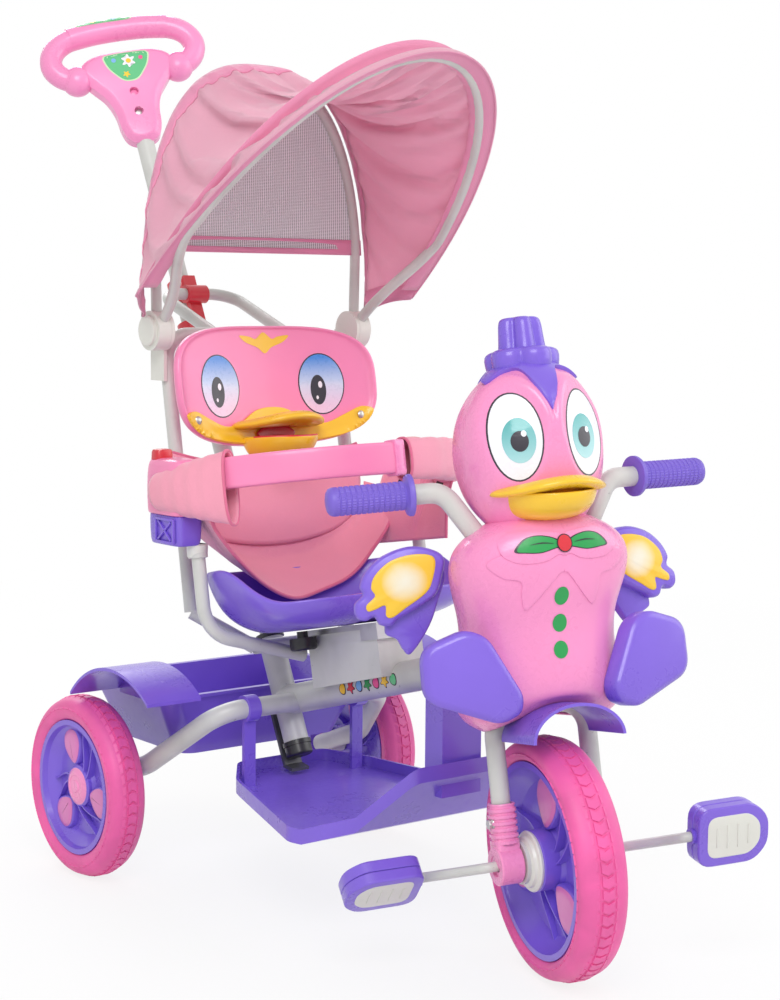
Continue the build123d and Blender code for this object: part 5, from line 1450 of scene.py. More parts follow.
def drilled(made, cutter_bm, sharp=35):
    """Cut another closed shape out of a piece for good, and crease the new rims."""
    mesh = bpy.data.meshes.new("cutter")
    cutter_bm.to_mesh(mesh)
    cutter_bm.free()
    cutter = bpy.data.objects.new("cutter", mesh)
    bpy.context.scene.collection.objects.link(cutter)
    cut = made.modifiers.new("cut", "BOOLEAN")
    cut.operation = "DIFFERENCE"
    cut.solver = "EXACT"
    cut.object = cutter
    bm = evaluated(made)
    made.modifiers.clear()
    bpy.data.objects.remove(cutter)
    for face in bm.faces:
        face.smooth = True
    for edge in bm.edges:
        edge.smooth = edge.calc_face_angle(0) < radians(sharp)
    bm.to_mesh(made.data)
    bm.free()


def both_ways(points):
    """The other half of a route or outline that is the same left and right."""
    return tuple((-x, y) for x, y in reversed(points))


# %% Ring, knuckles and web
RING = mm((-36, 868), (-60, 866), (-79, 871), (-91.5, 886), (-90.5, 904), (-75, 921), (-42, 929.2))
RING_TOP = 0.9305
WEB = mm((34, 893.5), (54, 884), (60, 868), (48, 850), (35, 833), (27.5, 812), (25, 790), (18, 773.5))
HOLES = (0.835, 0.808)
route = [(x, 0, z) for x, z in RING + ((0, RING_TOP),) + both_ways(RING)]
tube("push_handle_ring", route, 0.014, "push_bar", duck_pink, POLE, ("push_handle",))
hand_grip = [(-0.062, 0, 0.925), (-0.04, 0, 0.929), (0, 0, RING_TOP), (0.04, 0, 0.929), (0.062, 0, 0.925)]
bar_top = tube("push_handle_grip", hand_grip, 0.0148, "push_bar", duck_pink, POLE)
for hand, side in SIDES:
    knuckle = bmesh.new()
    bmesh.ops.create_uvsphere(knuckle, u_segments=36, v_segments=24, radius=0.019)
    bmesh.ops.scale(knuckle, vec=(1.02, 0.95, 1.0), verts=knuckle.verts)
    piece(knuckle, f"push_handle_knuckle_{hand}", "push_bar", duck_pink,
          POLE @ Matrix.Translation((side * 0.064, 0, 0.8665)))
web_points = ((0, 0.895),) + WEB + ((0, 0.767),) + both_ways(WEB)
web = piece(two_sided(pillow(outline(web_points, 5), 0.0075, 0.0075, 6, 0.02)), "push_handle_web", "push_bar",
            duck_pink, POLE @ FRONT, sharp=60)
holes = bmesh.new()
for height in HOLES:
    bmesh.ops.create_cone(holes, cap_ends=True, segments=32, radius1=0.0054, radius2=0.0058, depth=0.012,
                          matrix=POLE @ FRONT @ Matrix.Translation((0, height, 0.014)))
drilled(web, holes)
for height in HOLES:
    head_bm = spun(mm((0, 0), (0, 4.6), (1.2, 4.4), (1.8, 3), (1.8, 0)), 28, axis=(0, 0, 1))
    piece(head_bm, f"push_handle_screw_{round(height * 1000)}", "push_bar",
          steel if height < 0.82 else duck_pink,
          POLE @ FRONT @ Matrix.Translation((0, height, 0.0081)), sharp=35)

# %% [markdown]
# Two thin labels brighten the handle: a strip along the bar and a rounded triangle on the web. They carry
# plain stars, dots and a daisy on green, laid on the moulded skin like the duck's own prints.

# %% Labels with stars and a daisy
label_green = moulded("label green", rgb(92, 190, 128), 0.35, 0.00002, 0.2)
label_edge = moulded("label edge", rgb(206, 238, 190), 0.35, 0.00002, 0.2)
sky = moulded("label blue", rgb(120, 176, 226), 0.35, 0.00002, 0.2)
hot_pink = moulded("hot pink print", rgb(236, 84, 146), 0.35, 0.00002, 0.2)
POLE_LOOK = POLE.to_3x3() @ Vector((0, 1, 0))
web_skin = evaluated(web)
TRIANGLE = mm((-31, 889), (0, 891), (31, 889), (26, 870), (9, 849), (-9, 849), (-26, 870))
facing_web = facing(POLE, -0.1)


def scaled(points, share, centre=(0, 0)):
    """An outline grown or shrunk about a point."""
    return [(centre[0] + (p[0] - centre[0]) * share, centre[1] + (p[1] - centre[1]) * share) for p in points]


def moved(points, x, y):
    """An outline moved to another place."""
    return [(p[0] + x, p[1] + y) for p in points]


triangle = rounded(TRIANGLE, 0.008, 4)
for label, points, finish, lift in (
    ("edge", triangle, label_edge, 0.0002),
    ("ground", scaled(triangle, 0.93, (0, 0.873)), label_green, 0.0004),
    ("daisy", moved(star(0.0092, 0.004, 6), 0.002, 0.877), white, 0.0006),
    ("daisy_eye", oval((0.002, 0.877), 0.0032, 0.0032, 20), bill_yellow, 0.0008),
    ("dot_blue", oval((-0.016, 0.88), 0.003, 0.003, 20), sky, 0.0006),
    ("dot_pink", oval((0.018, 0.8795), 0.0028, 0.0028, 20), hot_pink, 0.0006),
    ("star_low", moved(star(0.0046, 0.0022, 5), -0.004, 0.859), bill_yellow, 0.0006),
):
    printed(f"handle_label_{label}", points, web_skin, "push_bar", finish, facing_web, POLE_LOOK, lift, 3)

bar_skin = evaluated(bar_top)
tilt_up = Matrix.Translation((-0.016, 0, RING_TOP)) @ Matrix.Rotation(radians(-42), 4, "X")
facing_bar = facing(POLE @ tilt_up, -0.1)
strip_look = (POLE @ tilt_up).to_3x3() @ Vector((0, 1, 0))
strip = rounded(mm((-36, -6), (36, -6), (36, 6), (-36, 6)), 0.005, 4)
printed("handle_strip_edge", strip, bar_skin, "push_bar", label_edge, facing_bar, strip_look, 0.0002, 3)
printed("handle_strip_ground", scaled(strip, 0.94), bar_skin, "push_bar", label_green, facing_bar, strip_look,
        0.0004, 3)
for number in range(5):
    shape = star(0.0042, 0.0018, 5) if number % 2 else oval((0, 0), 0.003, 0.003, 20)
    printed(f"handle_strip_mark_{number}", moved(shape, -0.026 + 0.013 * number, 0), bar_skin, "push_bar",
            (white, bill_yellow, white, sky, white)[number], facing_bar, strip_look, 0.0006, 2)
print("push handle done")

# %% [markdown]
# ## Backrest
# The backrest is a shallow dish bent round the child's back, with a fat rolled rim. It is lofted from nested
# rounded outlines whose depth follows a short profile, then every corner is pushed forward along one circle.
# The face is a set of prints: oval eyes that fade from blue to pink, a tuft, and a raised bill plate.


# %% Dished and bent panel
RECLINE = radians(10.3)
BACK = frame_from((0, 0.124, 0.562), (0, sin(RECLINE), cos(RECLINE)), (1, 0, 0))
BACK_LOOK = BACK.to_3x3() @ Vector((0, 1, 0))
DISH_RADIUS = 0.3652
PANEL_HALF_X, PANEL_HALF_Z = 0.138, 0.0695
PANEL_PROFILE = ((0.08, -0.0125), (0.4, -0.0125), (0.75, -0.0125), (0.93, -0.0125), (0.975, -0.011),
                 (0.995, -0.0075), (1.0, -0.0045), (0.997, -0.001), (0.985, 0.0018), (0.968, 0.003),
                 (0.952, 0.0024), (0.938, 0.0006), (0.915, 0.0), (0.84, 0.0), (0.72, 0.0), (0.6, 0.0),
                 (0.48, 0.0), (0.36, 0.0), (0.24, 0.0), (0.12, 0.0), (0.03, 0.0))


def bent_forward(x):
    """How far the dish has turned back from its middle, at x."""
    return sqrt(DISH_RADIUS**2 - x**2) - DISH_RADIUS


def panel_shell():
    """Nested outlines from the back of the panel, over its rolled rim, to its face."""
    bm = bmesh.new()
    rings = []
    for share, depth in PANEL_PROFILE:
        verts = ring(bm, (0, 0, 0), PANEL_HALF_X * share, PANEL_HALF_Z * share, 3.1, 96)
        for vert in verts:
            vert.co = Vector((vert.co.x, bent_forward(vert.co.x) - depth, vert.co.y))
        rings.append(verts)
    loft(bm, rings)
    return bm


panel = piece(panel_shell(), "backrest_panel", "frame", panel_pink, BACK, ("backrest",), levels=1)
settled(panel)
panel_skin = evaluated(panel)
facing_panel = facing(BACK, -0.15)


def on_panel(name, points, finish, lift, cuts=4, thick=0.0):
    """A print or moulding on the backrest's face."""
    return printed("backrest_" + name, points, panel_skin, "frame", finish, facing_panel, BACK_LOOK, lift,
                   cuts, thick)


def faded_eye():
    """An eye that fades from blue at the brow to pale pink at its foot."""
    finish = Finish("faded eye", rgb(120, 180, 236), 0.24, coat_weight=0.4)
    up = finish.axes(finish.turned(BACK))[2]
    low = finish.blend(up.between(-0.028, 0.004), rgb(240, 206, 230), rgb(206, 222, 244))
    finish.set("Base Color", finish.blend(up.between(-0.002, 0.03), low, rgb(62, 138, 222)))
    finish.set("Roughness", 0.24 + finish.noise(240) * 0.08)
    finish.bump(finish.noise(900), 0.00002)
    return finish.material


fade = faded_eye()
for hand, side in SIDES:
    eye_x, eye_z = side * 0.07, -0.0005
    gaze_x = eye_x - 0.004
    for label, shape, finish, lift in (
        ("outline", oval((eye_x, eye_z), 0.029, 0.036), ink, 0.0003),
        ("fade", oval((eye_x, eye_z), 0.0276, 0.0346), fade, 0.0005),
        ("pupil", oval((gaze_x, eye_z - 0.007), 0.0098, 0.0175), ink, 0.0007),
        ("glint", oval((gaze_x + 0.0028, eye_z - 0.001), 0.0026, 0.004), white, 0.0009),
        ("glint_low", oval((gaze_x - 0.002, eye_z - 0.016), 0.0016, 0.0022), white, 0.0009),
    ):
        on_panel(f"{hand}_eye_{label}", shape, finish, lift)
TUFT = mm((0, 37), (10, 44), (26, 50), (34, 57.5), (20, 56.5), (11, 54), (0, 61.5), (-11, 54), (-20, 56.5),
          (-34, 57.5), (-26, 50), (-10, 44))
on_panel("tuft", outline(TUFT, 5), bill_yellow, 0.0004)

# %% Bill plate, tongue and beak
PLATE_TOP = mm((127, -34.5), (114, -30), (96, -37), (70, -46.5), (46, -43), (22, -29))
PLATE_FOOT = mm((118, -50), (98, -59), (60, -65), (24, -66.8))
plate = (((0, -0.0255),) + PLATE_TOP[::-1] + PLATE_FOOT + ((0, -0.0672),) + both_ways(PLATE_FOOT)
         + both_ways(PLATE_TOP[::-1]))
bill_plate = on_panel("bill_plate", outline(plate, 4), bill_yellow, 0.004, 5, 0.0038)
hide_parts("backrest_bill")
TONGUE = mm((-26, -56), (-14, -47.5), (0, -46), (14, -47.5), (26, -56), (16, -64), (0, -65.5), (-16, -64))
on_panel("tongue", outline(TONGUE, 5), red, 0.0075, 3, 0.003)
for hand, side in SIDES:
    screw = spun(mm((0, 0), (0, 4.8), (1, 4.6), (2.2, 3), (2.6, 0)), 28, axis=(0, 0, 1))
    x = side * 0.113
    piece(screw, f"backrest_screw_{hand}", "frame", steel,
          BACK @ Matrix.Translation((x, bent_forward(x) - 0.004, -0.04)) @ FRONT, sharp=35)


def seat_beak(bm, name, finish, drop):
    """The same beak moulding as the duck's, cut flat at the back and set on the backrest."""
    bm.transform(Matrix.Translation((0, 0.064, drop - 0.3475)))
    cut = bmesh.ops.bisect_plane(bm, geom=everything(bm), plane_co=(0, 0.0, 0), plane_no=(0, 1, 0),
                                 clear_outer=True)
    rim = [edge for edge in cut["geom_cut"] if isinstance(edge, bmesh.types.BMEdge)]
    bmesh.ops.holes_fill(bm, edges=rim)
    return piece(bm, name, "frame", finish, BACK, levels=1)


seat_beak(upper_bill(), "backrest_beak_upper", bill_yellow, -0.056)
seat_beak(lower_bill(), "backrest_beak_lower", (bill_yellow, red), -0.068)
print("backrest done")

# %% [markdown]
# ## Guard bar and arms
# The bar is a glossy rounded box section swept round one arc. Its left end is open for lifting the child
# out, so it stops at a square cap in the middle, and the left half is covered by the liner's cloth.

# %% Bar, end cap and arm housings
GUARD = frame_from((0, 0.0209, 0.471), (0, sin(RECLINE), cos(RECLINE)), (1, 0, 0))
BAR_RADIUS, BAR_CENTRE = 0.1723, 0.0423


def on_bar(angle, out=0.0, up=0.0):
    """A point beside the centre line of the bar, at an angle round its arc."""
    return GUARD @ Vector((sin(angle) * (BAR_RADIUS + out), BAR_CENTRE - cos(angle) * (BAR_RADIUS + out), up))


def bar_section(angle, out=0.0, up=0.0):
    """A frame that looks along the bar: x points out, y up, z along."""
    turn = GUARD.to_3x3() @ Matrix(((sin(angle), 0, cos(angle)), (-cos(angle), 0, sin(angle)), (0, 1, 0)))
    return Matrix.Translation(on_bar(angle, out, up)) @ turn.to_4x4()


def along_bar(levels, square, segments=36):
    """A loft of sections along the bar, each one (angle, half thickness, half height, out, up)."""
    bm = bmesh.new()
    rings = [ring(bm, (0, 0, 0), thick, high, square, segments, bar_section(angle, out, up))
             for angle, thick, high, out, up in levels]
    loft(bm, rings, ends=(False, False))
    for end in (rings[0], rings[-1]):
        bmesh.ops.contextual_create(bm, geom=loop_edges(end))
    return bm


BAR_START_ANGLE, BAR_END_ANGLE = -1.32, 0.035
ARM_X, ARM_Y = 0.167, 0.055
POST_X, POST_Y = 0.152, 0.0355
bare = [(BAR_START_ANGLE + (BAR_END_ANGLE - BAR_START_ANGLE) * k / 40, 0.0085, 0.0168, 0,
         0) for k in range(41)]
piece(along_bar(bare, 7), "guard_bar_rail", "frame", panel_pink, replaces=("guard_bar",), sharp=50)
cap_levels = ((0.0, 0.0085, 0.0168), (0.001, 0.01, 0.0185), (0.004, 0.0106, 0.0192), (0.068, 0.0106, 0.0192),
              (0.072, 0.0098, 0.0182))
piece(along_bar([(a, t, h, 0, 0) for a, t, h in cap_levels], 8), "guard_bar_end_cap", "frame", duck_pink,
      sharp=50)
HOUSING = mm((430, 19.5, 32.5), (432, 20.8, 33.8), (460, 21.2, 34.2), (478, 20.5, 33.6), (486, 18.8, 32),
             (489.3, 16, 29.2), (490, 10, 22))
for hand, side in SIDES:
    arm = Matrix.Translation((side * ARM_X, ARM_Y, 0))
    upper = lofted([(z, hx, hy, 0, 4.5) for z, hx, hy in HOUSING], 48)
    piece(upper, f"{hand}_arm_housing", "frame", panel_pink, arm, paired(side, "arm_housings_upper"),
          levels=1)
    lower = lofted([(z, hx, hy, 0, 5) for z, hx, hy in (
        (0.3972, 0.015, 0.0285), (0.3985, 0.0176, 0.0308), (0.428, 0.0182, 0.0315), (0.43, 0.0175, 0.0308))],
                   48)
    piece(lower, f"{hand}_arm_foot", "frame", purple, arm, paired(side, "arm_housings_lower"), levels=1)
    brace = bmesh.new()
    for flip in (-1, 1):
        cross = Matrix.Rotation(flip * radians(38), 4, "X")
        block(brace, (side * 0.019, -0.008, 0.4135), (0.0026, 0.033, 0.0022), 0.0006, 2, cross)
    for height in (0.4012, 0.4258):
        block(brace, (side * 0.019, -0.008, height), (0.003, 0.036, 0.003), 0.0008, 2)
    for depth in (-0.0255, 0.0095):
        block(brace, (side * 0.019, depth, 0.4135), (0.003, 0.003, 0.027), 0.0008, 2)
    piece(brace, f"{hand}_arm_brace", "frame", purple, arm, sharp=35)
    button = bmesh.new()
    levels = [ring(button, (side * 0.006, 0.018, z), hx, hy, 3.4, 32) for z, hx, hy in (
        (0.488, 0.0108, 0.0088), (0.496, 0.0105, 0.0085), (0.4985, 0.0094, 0.0074), (0.4992, 0.006, 0.0048))]
    loft(button, levels)
    piece(button, f"{hand}_release_button", "frame", red, arm, paired(side, "release_buttons"), sharp=40)
    collar_bm = spun(mm((383.5, 7.8), (383.5, 10.2), (385, 11.2), (397.5, 11.6), (398, 10)), 40,
                     axis=(0, 0, 1))
    piece(collar_bm, f"{hand}_post_collar", "frame", pale_grey,
          Matrix.Translation((side * POST_X, POST_Y, 0)), sharp=35)
print("guard bar and arms done")

# %% [markdown]
# ## Seat
# The saddle is a deep glossy shell with a low front lip and high sides. Its rim is rolled, which is one more
# pair of rings in the loft: up the outside, over the edge and back down the inside.

# %% Moulded saddle
SEAT = frame_from((0, -0.027, 0.302), (0, sin(radians(12)), cos(radians(12))), (1, 0, 0))
SADDLE = ((0.0, 0.04, 0.03), (0.0, 0.078, 0.062), (0.04, 0.096, 0.078), (0.22, 0.12, 0.094),
          (0.5, 0.136, 0.103), (0.82, 0.1435, 0.1068), (0.97, 0.1455, 0.108), (1.02, 0.144, 0.1068),
          (1.02, 0.141, 0.104), (0.94, 0.1385, 0.1015), (0.6, 0.13, 0.097), (0.3, 0.113, 0.086),
          (0.14, 0.088, 0.07), (0.11, 0.05, 0.04))


def saddle():
    """The bowl, with a rim that dips at the front."""
    bm = bmesh.new()
    rings = []
    for share, half_x, half_y in SADDLE:
        verts = ring(bm, (0, 0, 0), half_x, half_y, 2.7, 72)
        for vert in verts:
            rise = max(0.0, min(1.0, (vert.co.y + 0.075) / 0.09))
            high = 0.03 + 0.043 * rise * rise * (3 - 2 * rise)
            vert.co.z = share * high + 0.0012
        rings.append(verts)
    loft(bm, rings)
    return bm


piece(saddle(), "moulded_saddle", "frame", purple, SEAT, ("seat",), levels=2)
print("seat done")

# %% [markdown]
# ## Seat liner
# The liner is a cloth hammock slung between the arms: a trough with a drooping front hem, a back panel, and a
# wing over the left arm. The trough is cut flat and left to settle under gravity with its back and its two
# upper edges held, so the folds run the way real cloth pulls. Piping is sewn round its edges.


# %% Cloth strips from a rule
QUILTED, SLEEVE_CLOTH = 0.0026, 0.0022
TROUGH_CELLS, BACK_CELLS, WING_CELLS = (96, 30), (48, 16), (36, 30)
BACK_HALF = 0.1285


def row_of(sheet, cells, row, every):
    """Points along one row of a sheet's grid."""
    first = row * (cells[0] + 1)
    return [sheet.data.vertices[first + column].co.copy() for column in range(0, cells[0] + 1, every)]


def cloth_sheet(name, rule, size, cells, material, body="frame", replaces=()):
    """A sheet from rule(across, down), both 0 to 1, with a cloth map in metres."""
    bm = bmesh.new()
    bmesh.ops.create_grid(bm, x_segments=cells[0], y_segments=cells[1], size=0.5)
    cloth_uv(bm, lambda co: ((co.x + 0.5) * size[0], (co.y + 0.5) * size[1]))
    for vert in bm.verts:
        vert.co = rule(vert.co.x + 0.5, vert.co.y + 0.5)
    area = min(size[0] * size[1], sheet_area(bm))
    made = piece(bm, name, body, material, replaces=replaces, recalc=False)
    return made, area


def mix(low, high, share):
    """A value part of the way from low to high."""
    return low + (high - low) * share


def trough(u, v):
    """The hammock: u runs from arm to arm and v from the backrest to the hem."""
    turn = pi * u
    drop = max(0.0, sin(turn)) ** 0.72
    x = -cos(turn) * mix(0.128, 0.146, v) - 0.012 * v * (1 - u)
    y = mix(0.108, 0.035 - 0.034 * cos(turn), v)
    z = mix(0.446, 0.438, v) - drop * mix(0.066, 0.092, v)
    ripple = 0.0016 * sin(turn * 9 + 4 * v) * v * drop
    return Vector((x, y + ripple, z + ripple))


def back_panel(u, v):
    """The panel up the front of the backrest frame."""
    x = mix(-BACK_HALF, BACK_HALF, u)
    share = x / BACK_HALF
    low = 0.446 - 0.066 * max(0.0, 1 - share * share) ** 0.36
    high = 0.47 + 0.02 * share * share
    z = mix(low, high, v)
    return Vector((x, 0.1085 + 0.18 * (z - 0.4) - 0.004 * sin(pi * v) * cos(share * pi / 2), z))


def wing(u, v):
    """The left wing: over the bar and the arm at its top, down to the saddle at its foot."""
    angle = mix(0.92, 1.3, min(1.0, u / 0.5))
    top = on_bar(angle, 0.0125, 0.004) if u < 0.5 else Vector((0.153, mix(0.018, 0.09, (u - 0.5) / 0.5),
                                                               0.476))
    foot = Vector((0.13 + 0.006 * sin(pi * u), mix(-0.042, 0.096, u), mix(0.393, 0.372, u)))
    point = top + (foot - top) * v
    billow = 0.006 * sin(pi * v) + 0.0018 * sin(14 * u + 5 * v) * v
    return point + Vector((-billow, 0, 0))


liner, liner_area = cloth_sheet("seat_liner_trough", trough, (0.4, 0.12), TROUGH_CELLS, liner_cloth,
                                replaces=("seat_liner",))
HELD_COLUMNS = 3
liner_hold = liner.vertex_groups.new(name="held")
for vert in liner.data.vertices:
    row, column = divmod(vert.index, TROUGH_CELLS[0] + 1)
    if row == 0 or not HELD_COLUMNS <= column <= TROUGH_CELLS[0] - HELD_COLUMNS:
        liner_hold.add([vert.index], 1.0, "REPLACE")
hang(liner, 16)
liner_back, back_area = cloth_sheet("seat_liner_back", back_panel, (0.26, 0.08), BACK_CELLS, liner_cloth)
left_wing, wing_area = cloth_sheet("seat_liner_left_wing", wing, (0.14, 0.12), WING_CELLS, liner_cloth)
for made in (liner, liner_back, left_wing):
    walled(made, QUILTED)


# %% Sleeves over the bar
def sleeve_levels(start, end, count, base):
    """Puckered sections for a sleeve between two angles of the bar."""
    levels = []
    for k in range(count + 1):
        share = k / count
        angle = mix(start, end, share)
        thick, high, out, up = base(share)
        pucker = 0.0007 * sin(share * 34) * sin(pi * share)
        levels.append((angle, thick + pucker, high + pucker, out, up))
    return levels


def cloth_tube(name, levels, square, material):
    """An open cloth tube along the bar with a cloth map in metres."""
    bm = bmesh.new()
    rings = [ring(bm, (0, 0, 0), thick, high, square, 48, bar_section(angle, out, up))
             for angle, thick, high, out, up in levels]
    loft(bm, rings, ends=(False, False))
    back = GUARD.inverted()

    def unrolled(co):
        local = back @ co
        return atan2(local.x, BAR_CENTRE - local.y) * BAR_RADIUS, local.z

    cloth_uv(bm, unrolled)
    area = sheet_area(bm)
    made = piece(bm, name, "frame", material)
    walled(made, SLEEVE_CLOTH)
    length = abs(levels[-1][0] - levels[0][0]) * BAR_RADIUS
    return made, (length, area / length)


far_sleeve, far_flat = cloth_tube(
    "seat_liner_left_sleeve", sleeve_levels(0.1, 1.24, 44,
                                            lambda s: (0.0122, 0.0212 + 0.0015 * s, 0.0, -0.0015)), 3.2,
    liner_cloth)
near_cone, near_flat = cloth_tube(
    "seat_liner_right_sleeve",
    sleeve_levels(-1.04, -1.56, 26,
                  lambda s: (mix(0.0145, 0.025, s), mix(0.0385, 0.0215, s), mix(0.001, 0.001, s),
                                               mix(-0.0155, -0.01, s))), 2.4, liner_cloth)
for name, angle, thick, high, up in (("left", 0.105, 0.0132, 0.0222, -0.0015),
                                     ("right", -1.045, 0.0155, 0.0395, -0.0155)):
    bm = bmesh.new()
    path = ring(bm, (0, 0, 0), thick, high, 2.6, 56, bar_section(angle, 0, up))
    route = [vert.co.copy() for vert in sorted(path, key=lambda v: v.index)]
    bm.free()
    tube(f"seat_liner_{name}_sleeve_piping", route, 0.0017, "frame", liner_piping, closed=True)

# %% Piping, snaps and the flap on the saddle
hem_row = row_of(liner, TROUGH_CELLS, TROUGH_CELLS[1], 3)
top_row = row_of(liner_back, BACK_CELLS, BACK_CELLS[1], 3)
side_row = [row_of(left_wing, WING_CELLS, row, WING_CELLS[0] + 1)[0] for row in range(0, WING_CELLS[1] + 1,
                                                                                      2)]
hem_piping, top_piping, side_piping = (
    tube(f"seat_liner_{name}_piping", points, radius, "frame", liner_piping)
    for name, points, radius in (("hem", hem_row, 0.0021), ("back", top_row, 0.0019),
                                 ("wing", side_row, 0.0018)))
for number, (u, v) in enumerate(((0.3, 0.34), (0.72, 0.3))):
    snap = spun(mm((0, 0), (0, 6.8), (1.2, 7), (2.6, 5.6), (2.2, 3), (3, 0)), 32,
                axis=(1, 0, 0))
    spot = wing(u, v) + Vector((-0.0014, 0, 0))
    piece(snap, f"seat_liner_snap_{number}", "frame", black,
                       Matrix.Translation(spot) @ Matrix.Rotation(pi, 4, "Z"), sharp=30)
# The flap is the liner's cloth lying on the saddle; its hot pink is painted shade, darker than the liner's
# own pink.
flap_points = [(0.04 * cos(pi + pi * k / 20), 0.044 * sin(pi + pi * k / 20)) for k in range(21)]
flap_bm = pillow(flap_points + [(0.038, 0.03), (-0.038, 0.03)], 0.0012, 0.0016, 3, 0.008)
flap = piece(flap_bm, "seat_liner_flap_in_painted_shade", "frame", hot_pink, SEAT @ Matrix.Translation((0, -0.036, 0.03)),
             sharp=50)
print("liner done", round(liner_area + back_area + wing_area, 4), "square metres of cloth")

# %% [markdown]
# ## Bright marks on the main tube
# A row of coloured dots and stars stands where such a tricycle carries its name, printed on the paint.

# %% Dots and stars along the tube
tube_skin = bmesh.new()
tube_skin.from_mesh(nodes["frame_main"].data)
TUBE_LOW, TUBE_HIGH = Vector((0, 0.061, 0.207)), Vector((0, -0.195, 0.278))
tube_way = (TUBE_HIGH - TUBE_LOW).normalized()
RIGHTWARD = Vector((-1, 0, 0))
sideways = Matrix((tube_way, RIGHTWARD.cross(tube_way), RIGHTWARD)).transposed()
FIRST_MARK, MARK_PITCH = 0.112, 0.0155
marks = (bill_yellow, red, sky, green, hot_pink, bill_yellow, label_green)
for number, finish in enumerate(marks):
    centre = TUBE_LOW + tube_way * (FIRST_MARK + MARK_PITCH * number)
    place = Matrix.Translation(centre + RIGHTWARD * 0.05) @ sideways.to_4x4()
    grown = star(0.0078, 0.0034, 5) if number % 2 else oval((0, 0), 0.0062, 0.0068, 24)
    shape = star(0.0064, 0.0028, 5) if number % 2 else oval((0, 0), 0.005, 0.0056, 24)
    printed(f"tube_mark_{number}_edge", grown, tube_skin, "frame", ink, place, (1, 0, 0), 0.0002, 3)
    printed(f"tube_mark_{number}", shape, tube_skin, "frame", finish, place, (1, 0, 0), 0.0004, 3)
print("marks done")

# %% [markdown]
# ## Finishes for the frame's own solids
# Tubes, brackets and clips are already the right shape, so they stay and only take a finish.

# %% Paint the solids that stay
PAINT = {
    tube_paint: ("frame_main", "rear_arch", "seat_bracket", "backrest_frame", "pole_stay", "arm_posts",
                 "fork",
                 "handlebar", "crank", "push_pole"),
    purple: ("footrest", "rear_basket", "mudguard"),
    red: ("pole_clips",),
    black: ("pole_bushings", "pole_cap", "seat_knob"),
    dark_grey: ("pole_latch",),
    steel: ("seat_slide",),
    pale_grey: ("canopy_pivots", "canopy_brackets"),
}
for finish, names in PAINT.items():
    for name in names:
        nodes[name].data.materials.clear()
        nodes[name].data.materials.append(finish)

# %% [markdown]
# ## Studio
# A pale floor in a white room, three broad soft lights and a portrait-length lens, standing a little
# above the handlebar and to the rider's right.

# %% Floor, lights and camera
NEAR_GLOW = 0.84  # how white the floor looks by the wheels, where the shadow has to stay
ROOM_LIGHT = 0.55
LENS, CAMERA_ROLL = 92.31, 0.5
CAMERA_AT = Vector((-1.303, -1.781, 0.669))
LOOK = Vector((0.611, 0.785, -0.103))


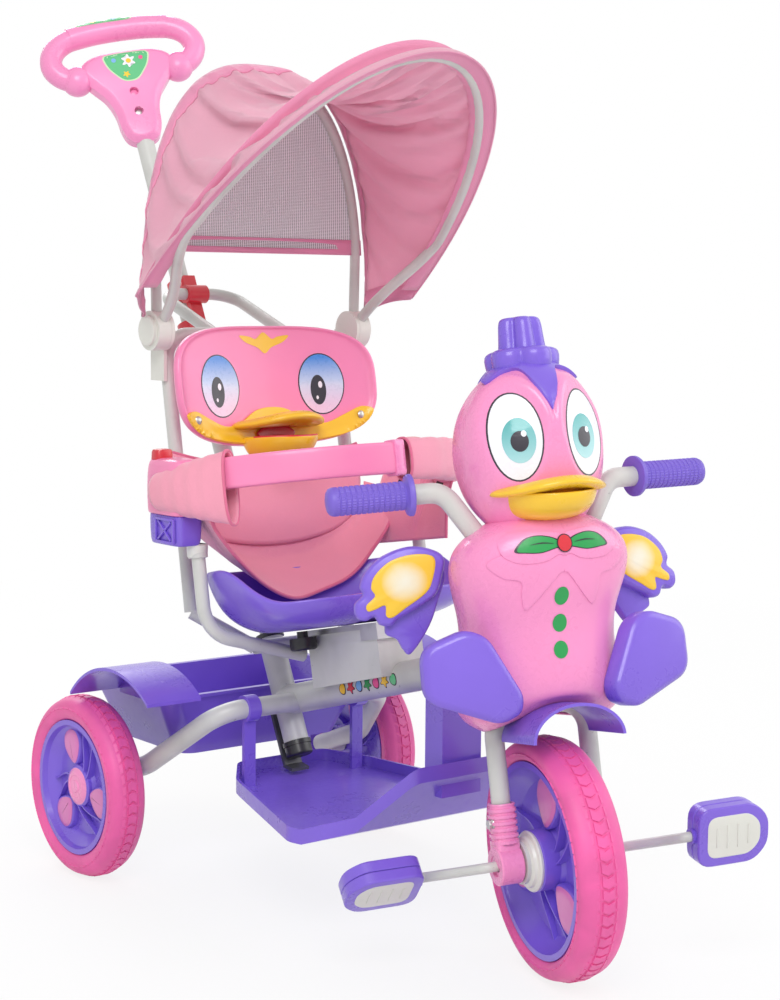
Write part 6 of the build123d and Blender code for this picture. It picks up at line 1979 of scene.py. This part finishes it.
def studio():
    """The floor, and a room that is white to the camera and softer as a light."""
    bm = bmesh.new()
    bmesh.ops.create_grid(bm, x_segments=1, y_segments=1, size=6)
    mesh = bpy.data.meshes.new("floor")
    bm.to_mesh(mesh)
    bm.free()
    floor = bpy.data.objects.new("floor", mesh)
    bpy.context.scene.collection.objects.link(floor)
    finish = Finish("studio floor", (0.9, 0.9, 0.9), 0.75)
    finish.set("Base Color", finish.blend(finish.noise(3), (0.88, 0.88, 0.88), (0.93, 0.93, 0.93)))
    rays = finish.node("ShaderNodeLightPath")
    glow = finish.node("ShaderNodeEmission", None, {"Color": (1, 1, 1, 1), "Strength": 1.0})
    seen = rays.math("MAXIMUM", Field(finish, rays.socket.node.outputs["Is Glossy Ray"]))
    x, y = finish.axes()[:2]
    far = (x * x + y * y).between(1.0, 6.0)
    finish.mix_in(glow, seen * (far * (1 - NEAR_GLOW) + NEAR_GLOW))
    mesh.materials.append(finish.material)
    world = bpy.data.worlds.new("studio")
    bpy.context.scene.world = world
    world.use_nodes = True
    tree = world.node_tree
    add, back, output = tree.nodes.new, tree.nodes["Background"], tree.nodes["World Output"]
    white_room, path, mix = (add("ShaderNode" + kind) for kind in ("Background", "LightPath", "MixShader"))
    direct, seen = add("ShaderNodeMath"), add("ShaderNodeMath")
    direct.operation = seen.operation = "MAXIMUM"
    for sky_node, strength in ((back, ROOM_LIGHT), (white_room, 1.0)):
        sky_node.inputs[0].default_value = (1, 1, 1, 1)
        sky_node.inputs[1].default_value = strength
    for start, end in (
        (path.outputs["Is Camera Ray"], direct.inputs[0]),
        (path.outputs["Is Transmission Ray"], direct.inputs[1]), (direct.outputs[0], seen.inputs[0]),
        (path.outputs["Is Glossy Ray"], seen.inputs[1]), (seen.outputs[0], mix.inputs[0]),
        (back.outputs[0], mix.inputs[1]), (white_room.outputs[0], mix.inputs[2]),
        (mix.outputs[0], output.inputs[0]),
    ):
        tree.links.new(start, end)


def soft_light(name, where, aim, size, power_watts):
    """A square area light aimed at a point."""
    lamp = bpy.data.lights.new(name, "AREA")
    lamp.size = size
    lamp.energy = power_watts
    holder = bpy.data.objects.new(name, lamp)
    holder.location = where
    holder.rotation_euler = (Vector(aim) - Vector(where)).to_track_quat("-Z", "Y").to_euler()
    bpy.context.scene.collection.objects.link(holder)


def camera():
    """A long lens on the tricycle."""
    lens = bpy.data.cameras.new("camera")
    lens.sensor_width = 36
    lens.sensor_fit = "HORIZONTAL"
    lens.lens = LENS
    lens.clip_end = 60
    holder = bpy.data.objects.new("camera", lens)
    roll = Matrix.Rotation(radians(CAMERA_ROLL), 4, "Z")
    turn = LOOK.to_track_quat("-Z", "Y").to_matrix().to_4x4()
    holder.matrix_world = Matrix.Translation(CAMERA_AT) @ turn @ roll
    bpy.context.scene.collection.objects.link(holder)
    bpy.context.scene.camera = holder


studio()
soft_light("key", (-1.7, -2.2, 2.6), (0, 0, 0.45), 1.8, 62)
soft_light("fill", (2.4, -1.6, 1.7), (0, 0, 0.4), 2.2, 26)
soft_light("rim", (0.6, 2.4, 2.4), (0, 0, 0.5), 1.6, 34)
camera()
bpy.context.scene.view_settings.view_transform = "Standard"
